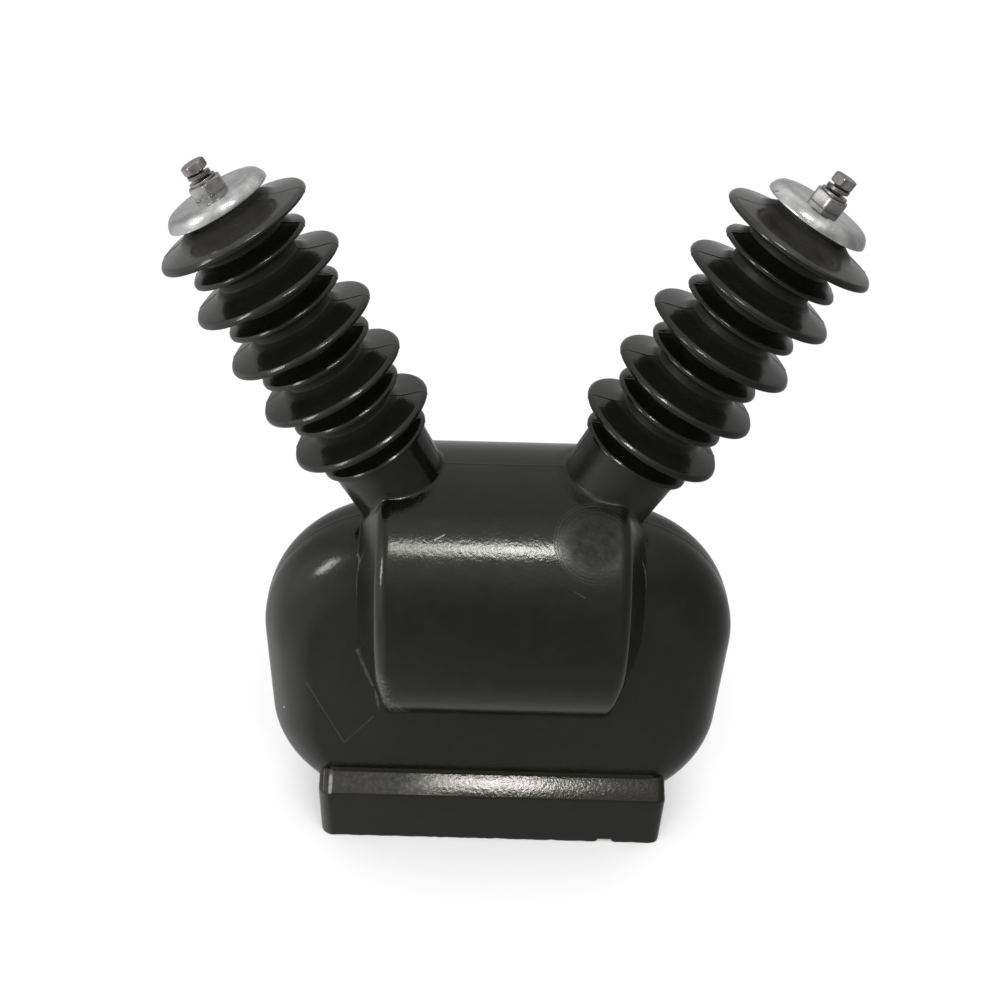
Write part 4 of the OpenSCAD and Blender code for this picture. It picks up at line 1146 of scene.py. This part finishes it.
def build_plate():
    """Blank curved plate with a pressed border on the rear of the barrel."""
    nx, na = 85, 49
    X = np.linspace(-42, 42, nx)
    A = np.radians(np.linspace(8 - 15, 8 + 15, na))
    hw, ha = 42.0, math.radians(15) * BARREL_R
    top, low = [], []
    for i, w in enumerate(A):
        s = (w - math.radians(8)) * BARREL_R
        for x in X:
            cx, cs = hw - abs(x), ha - abs(s)
            # rounded corners: points outside the corner arc are drawn in
            xx, ss = x, s
            rc = 3.0
            if cx < rc and cs < rc:
                d = math.hypot(rc - cx, rc - cs)
                if d > rc:
                    k = rc / d
                    xx = math.copysign(hw - rc + (rc - cx) * k, x); ss = math.copysign(ha - rc + (rc - cs) * k, s)
            e = min(cx, cs)
            h = 0.80 - 0.18 * max(0, 1 - e / 0.5) ** 2
            h += -0.16 * math.exp(-((e - 3.2) / 0.45) ** 2) - 0.06 * math.exp(-((e - 4.6) / 0.4) ** 2)
            ww = math.radians(8) + ss / BARREL_R
            for arr, r in ((top, BARREL_R + h), (low, BARREL_R - 0.6)):
                arr.append((xx, r * math.cos(ww), BARREL_Z + r * math.sin(ww)))
    v = top + low
    o = len(top)
    f = []
    for i in range(na - 1):
        for j in range(nx - 1):
            q = (i * nx + j, i * nx + j + 1, (i + 1) * nx + j + 1, (i + 1) * nx + j)
            f.append(tuple(reversed(q))); f.append(tuple(o + t for t in q))
    rim = [j for j in range(nx)] + [i * nx + nx - 1 for i in range(1, na)] + [(na - 1) * nx + j for j in range(nx - 2, -1, -1)] + [i * nx for i in range(na - 2, 0, -1)]
    for a, b in zip(rim, rim[1:] + rim[:1]):
        f.append((a, b, o + b, o + a))
    return mesh_object("blank_rating_plate", v, f, MAT["plate_metal"], angle=35)


def build_rivets():
    path = refine(fillet_path([(2.6, -1.2, 0), (2.6, 0.1, 0.2), (2.45, 0.75, 0.5), (1.5, 1.25, 1.0), (0.2, 1.35, 0)]), 0.4)
    v, f, o = [], [], 0
    for sx in (-1, 1):
        for w in (8 - 15 + 2.4, 8 + 15 - 2.4):
            a = np.linspace(0, 2 * math.pi, 36, endpoint=False)
            P = np.stack([path[:, None, 0] * np.cos(a), path[:, None, 0] * np.sin(a), np.repeat(path[:, None, 1], 36, 1)], -1).reshape(-1, 3)
            P = np.concatenate([P, [[0, 0, path[0, 1]], [0, 0, path[-1, 1]]]])
            m, k = len(path), 36
            b, t = len(P) - 2, len(P) - 1
            ff = [tuple(r) for r in grid_faces(m, k)] + [(b, (j + 1) % k, j) for j in range(k)] + [(t, (m - 1) * k + j, (m - 1) * k + (j + 1) % k) for j in range(k)]
            W = math.radians(w); c, s = math.cos(W), math.sin(W)
            # local z runs outwards along the radius, local y is the tangent
            rad = BARREL_R + 0.8 + P[:, 2]
            y = rad * c + P[:, 1] * s
            z = BARREL_Z + rad * s - P[:, 1] * c
            v.append(np.stack([sx * 38.0 + P[:, 0], y, z], 1)); f += [tuple(i + o for i in q) for q in ff]; o += len(P)
    return mesh_object("rating_plate_rivets", np.concatenate(v), f, MAT["cover_metal"], angle=40)


def build_inserts():
    """Threaded inserts in the underside, with a real internal thread."""
    v, f, o = [], [], 0
    n = 72
    a = np.linspace(0, 2 * math.pi, n, endpoint=False)
    for sx in (-1, 1):
        for sy in (-1, 1):
            zin = np.arange(0.9, 20.2, 0.25)
            rows = [np.full(n, 9.0), np.full(n, 9.0), np.full(n, 8.85), np.full(n, 8.2), np.full(n, 6.1)]
            zz = [23.9, 0.3, 0.05, 0.03, 0.03]
            R = []
            Z = []
            for r, z in zip(rows, zz):
                R.append(r); Z.append(np.full(n, z))
            for z in zin:
                ph = (z / 1.75 - a / (2 * math.pi)) % 1.0
                tri = np.abs(ph * 2 - 1)
                R.append(5.1 + 0.75 * np.clip((tri - 0.1) / 0.75, 0, 1) * min(1, (z - 0.6) / 0.8 + 0.3)); Z.append(np.full(n, z))
            R, Z = np.array(R), np.array(Z)
            P = np.stack([sx * 105 + R * np.cos(a), sy * 38 + R * np.sin(a), Z], -1).reshape(-1, 3)
            m = len(R)
            P = np.concatenate([P, [[sx * 105, sy * 38, 20.15], [sx * 105, sy * 38, 23.9]]])
            c, t = len(P) - 2, len(P) - 1
            ff = [tuple(reversed(r)) for r in grid_faces(m, n)]
            ff += [(c, (m - 1) * n + (j + 1) % n, (m - 1) * n + j) for j in range(n)]
            ff += [(t, j, (j + 1) % n) for j in range(n)]
            ff = [tuple(reversed(q)) for q in ff]
            v.append(P); f += [tuple(i + o for i in q) for q in ff]; o += len(P)
    return mesh_object("threaded_base_inserts", np.concatenate(v), f, MAT["insert_brass"], angle=35)


# ------------------------------------------------------------------ assemble
casing = build_casing(); plinth = build_plinth(); housing = build_housing(); flash = build_flash()
for ob in (casing, plinth, housing, flash):
    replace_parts(ob, "body_casting")

for side, w in ((-1, "left"), (1, "right")):
    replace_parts(build_bushing(side, w + "_ribbed_bushing"), w + "_bushing")
    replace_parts(build_cap(side, w + "_pressed_cap"), w + "_terminal_cap")
    tp, tb = (math.radians(-75), math.radians(-109)) if side < 0 else (math.radians(-82), math.radians(-87))
    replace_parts(hex_piece(w + "_hex_post", side, MAT["post_metal"], 19.0, CAP_T, 7.2, tp, 1.1, 0.0, hole=4.2), w + "_terminal_post")
    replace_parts(ring_piece(w + "_plain_washer", side, MAT["fastener_steel"], 8.0, 4.25, POST_T, 1.6, tilt=0.0), w + "_flat_washer")
    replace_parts(spring_piece(w + "_split_washer", side, MAT["fastener_steel"], 6.7, 4.2, POST_T + 1.6, 2.1, 4.4), w + "_spring_washer")
    head = hex_piece(w + "_bolt_head", side, MAT["fastener_steel"], 13.0, 181.2, 5.3, tb, 1.0, 0.8, crown=0.0)
    thread = thread_piece(w + "_bolt_thread", side, MAT["fastener_steel"], 8.0, 1.25, 165.5, 181.4)
    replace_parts(head, w + "_terminal_bolt"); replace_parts(thread, w + "_terminal_bolt")

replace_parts(build_cover(), "box_cover"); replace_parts(build_gasket(), "box_gasket"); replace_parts(build_screws(), "cover_screws")
for ob, node in build_gland():
    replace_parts(ob, node)
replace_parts(build_plate(), "rating_plate"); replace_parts(build_rivets(), "plate_rivets")
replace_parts(build_inserts(), "base_inserts")
path = refine(fillet_path([(7.0, -20.0, 0), (7.0, 0.8, 0.2), (6.8, 1.0, 0.1), (4.0, 1.0, 0)]), 3.0)
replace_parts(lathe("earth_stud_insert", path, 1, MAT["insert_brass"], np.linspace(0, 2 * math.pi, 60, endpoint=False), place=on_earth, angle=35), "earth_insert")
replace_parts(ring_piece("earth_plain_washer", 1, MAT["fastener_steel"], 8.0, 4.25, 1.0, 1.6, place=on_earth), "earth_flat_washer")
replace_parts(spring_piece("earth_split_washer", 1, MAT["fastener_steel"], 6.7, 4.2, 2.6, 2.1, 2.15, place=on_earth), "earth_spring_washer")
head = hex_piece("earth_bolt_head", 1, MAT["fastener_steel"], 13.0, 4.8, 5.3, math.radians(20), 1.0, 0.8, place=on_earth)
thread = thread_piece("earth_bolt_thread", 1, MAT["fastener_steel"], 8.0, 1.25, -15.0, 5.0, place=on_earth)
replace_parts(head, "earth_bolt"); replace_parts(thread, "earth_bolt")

# ------------------------------------------------------------------ floor, light and camera
floor_mat, fnt, fbs = new_mat("studio_floor", (0.93, 0.93, 0.93), 0.9, spec=0.0)
fn = Net(fnt)
fnt.links.new(fn.mix(fn.noise(3.0, 2.0), (0.925, 0.925, 0.925), (0.94, 0.94, 0.94)), fbs.inputs["Base Color"])
S = 9.0
me = bpy.data.meshes.new("studio_floor")
me.from_pydata([(-S, -S, 0), (S, -S, 0), (S, S, 0), (-S, S, 0)], [], [(0, 1, 2, 3)])
me.materials.append(floor_mat)
floor = bpy.data.objects.new("studio_floor", me)
bpy.context.scene.collection.objects.link(floor)
floor.visible_glossy = False


def area(name, loc, target, sx, sy, power, color=(1, 1, 1), spread=math.pi):
    d = bpy.data.lights.new(name, "AREA")
    d.shape = "RECTANGLE"; d.size = sx; d.size_y = sy; d.energy = power; d.color = color; d.spread = spread
    o = bpy.data.objects.new(name, d)
    bpy.context.scene.collection.objects.link(o)
    o.location = loc
    o.rotation_euler = (Vector(target) - Vector(loc)).to_track_quat("-Z", "Y").to_euler()
    return o


LIGHTS = []
for lname, lx, lw, rad in (("key_softbox_left", -0.105, 0.25, 21.5), ("key_softbox_right", 0.0775, 0.121, 58.0), ("key_softbox_edge", 0.163, 0.050, 12.0),
                           ("key_softbox_fade", 0.2205, 0.065, 4.0), ("key_softbox_tail", 0.293, 0.080, 2.4)):
    lamp = area(lname, (lx, -0.744, 1.55), (lx - 0.05, -0.03, 0.20), lw, 0.175, rad * math.pi * lw * 0.175)
    lamp.visible_diffuse = False
side_window = area("left_window", (-1.62, -0.88, 1.02), (-0.10, -0.02, 0.20), 0.34, 0.55, 16.0 * math.pi * 0.34 * 0.55)
side_window.visible_diffuse = False
fill = area("floor_fill", (0.0, -0.62, 0.62), (0.0, -0.22, 0.0), 0.9, 0.35, 3.4 * math.pi * 0.9 * 0.35)
fill.visible_glossy = False

# the room as the object sees it: pale, brighter behind, above and to the left, dark to the front right
world = bpy.data.worlds.new("studio")
bpy.context.scene.world = world
world.use_nodes = True
wnt = world.node_tree
bg = wnt.nodes["Background"]
wn = Net(wnt)
gen = wnt.nodes.new("ShaderNodeTexCoord").outputs["Generated"]


def toward(v, a, b, lo, hi):
    return wn.remap(wn.vmath("DOT_PRODUCT", gen, tuple(Vector(v).normalized())), a, b, lo, hi, True)


room = wn.math("ADD", 0.53, toward((0, 0, 1), 0.08, 0.97, 0.0, 0.50))
room = wn.math("MULTIPLY", room, toward((0.97, 0.05, -0.05), 0.25, 0.95, 1.0, 0.72))
room = wn.math("MULTIPLY", room, toward((0, 0, -1), 0.72, 0.97, 1.0, 0.88))
room = wn.math("ADD", room, toward((-0.89, -0.38, -0.25), 0.38, 0.92, 0.0, 0.70))
room = wn.math("ADD", room, toward((-0.88, -0.36, 0.30), 0.84, 0.97, 0.0, 0.40))
room = wn.math("ADD", room, toward((0.03, -0.50, 0.86), 0.84, 0.97, 0.0, 0.42))
lp = wnt.nodes.new("ShaderNodeLightPath")
room = wn.math("ADD", wn.math("MULTIPLY", room, wn.math("SUBTRACT", 1.0, lp.outputs["Is Diffuse Ray"])), wn.math("MULTIPLY", lp.outputs["Is Diffuse Ray"], 1.12))
room = wn.math("ADD", wn.math("MULTIPLY", room, wn.math("SUBTRACT", 1.0, lp.outputs["Is Camera Ray"])), lp.outputs["Is Camera Ray"])
wnt.links.new(room, bg.inputs["Strength"])
bg.inputs["Color"].default_value = (1, 1, 1, 1)

sc = bpy.context.scene
sc.view_settings.view_transform = "Standard"
sc.view_settings.look = "None"
sc.view_settings.exposure = 0.0
sc.view_settings.gamma = 1.0

cam_data = bpy.data.cameras.new("camera")
cam = bpy.data.objects.new("camera", cam_data)
sc.collection.objects.link(cam)
cam_data.sensor_fit = "HORIZONTAL"; cam_data.sensor_width = 36.0
cam_data.lens = 1109.12 * 36.0 / 1000.0
cam_data.shift_x = (500.0 - 459.155) / 1000.0
cam_data.shift_y = (498.857 - 500.0) / 1000.0
cam_data.clip_start = 0.05; cam_data.clip_end = 60.0
cam_data.dof.use_dof = False
Fv = Vector((-0.00770345, 0.81377104, -0.58113453)); Rv = Vector((0.99966297, 0.02067505, 0.01570014)); Uv = Vector((-0.02479131, 0.58081772, 0.81365605))
rot = Matrix(((Rv.x, Uv.x, -Fv.x), (Rv.y, Uv.y, -Fv.y), (Rv.z, Uv.z, -Fv.z)))
cam.matrix_world = Matrix.Translation(Vector((-0.023446, -0.603595, 0.713559))) @ rot.to_4x4()
sc.camera = cam
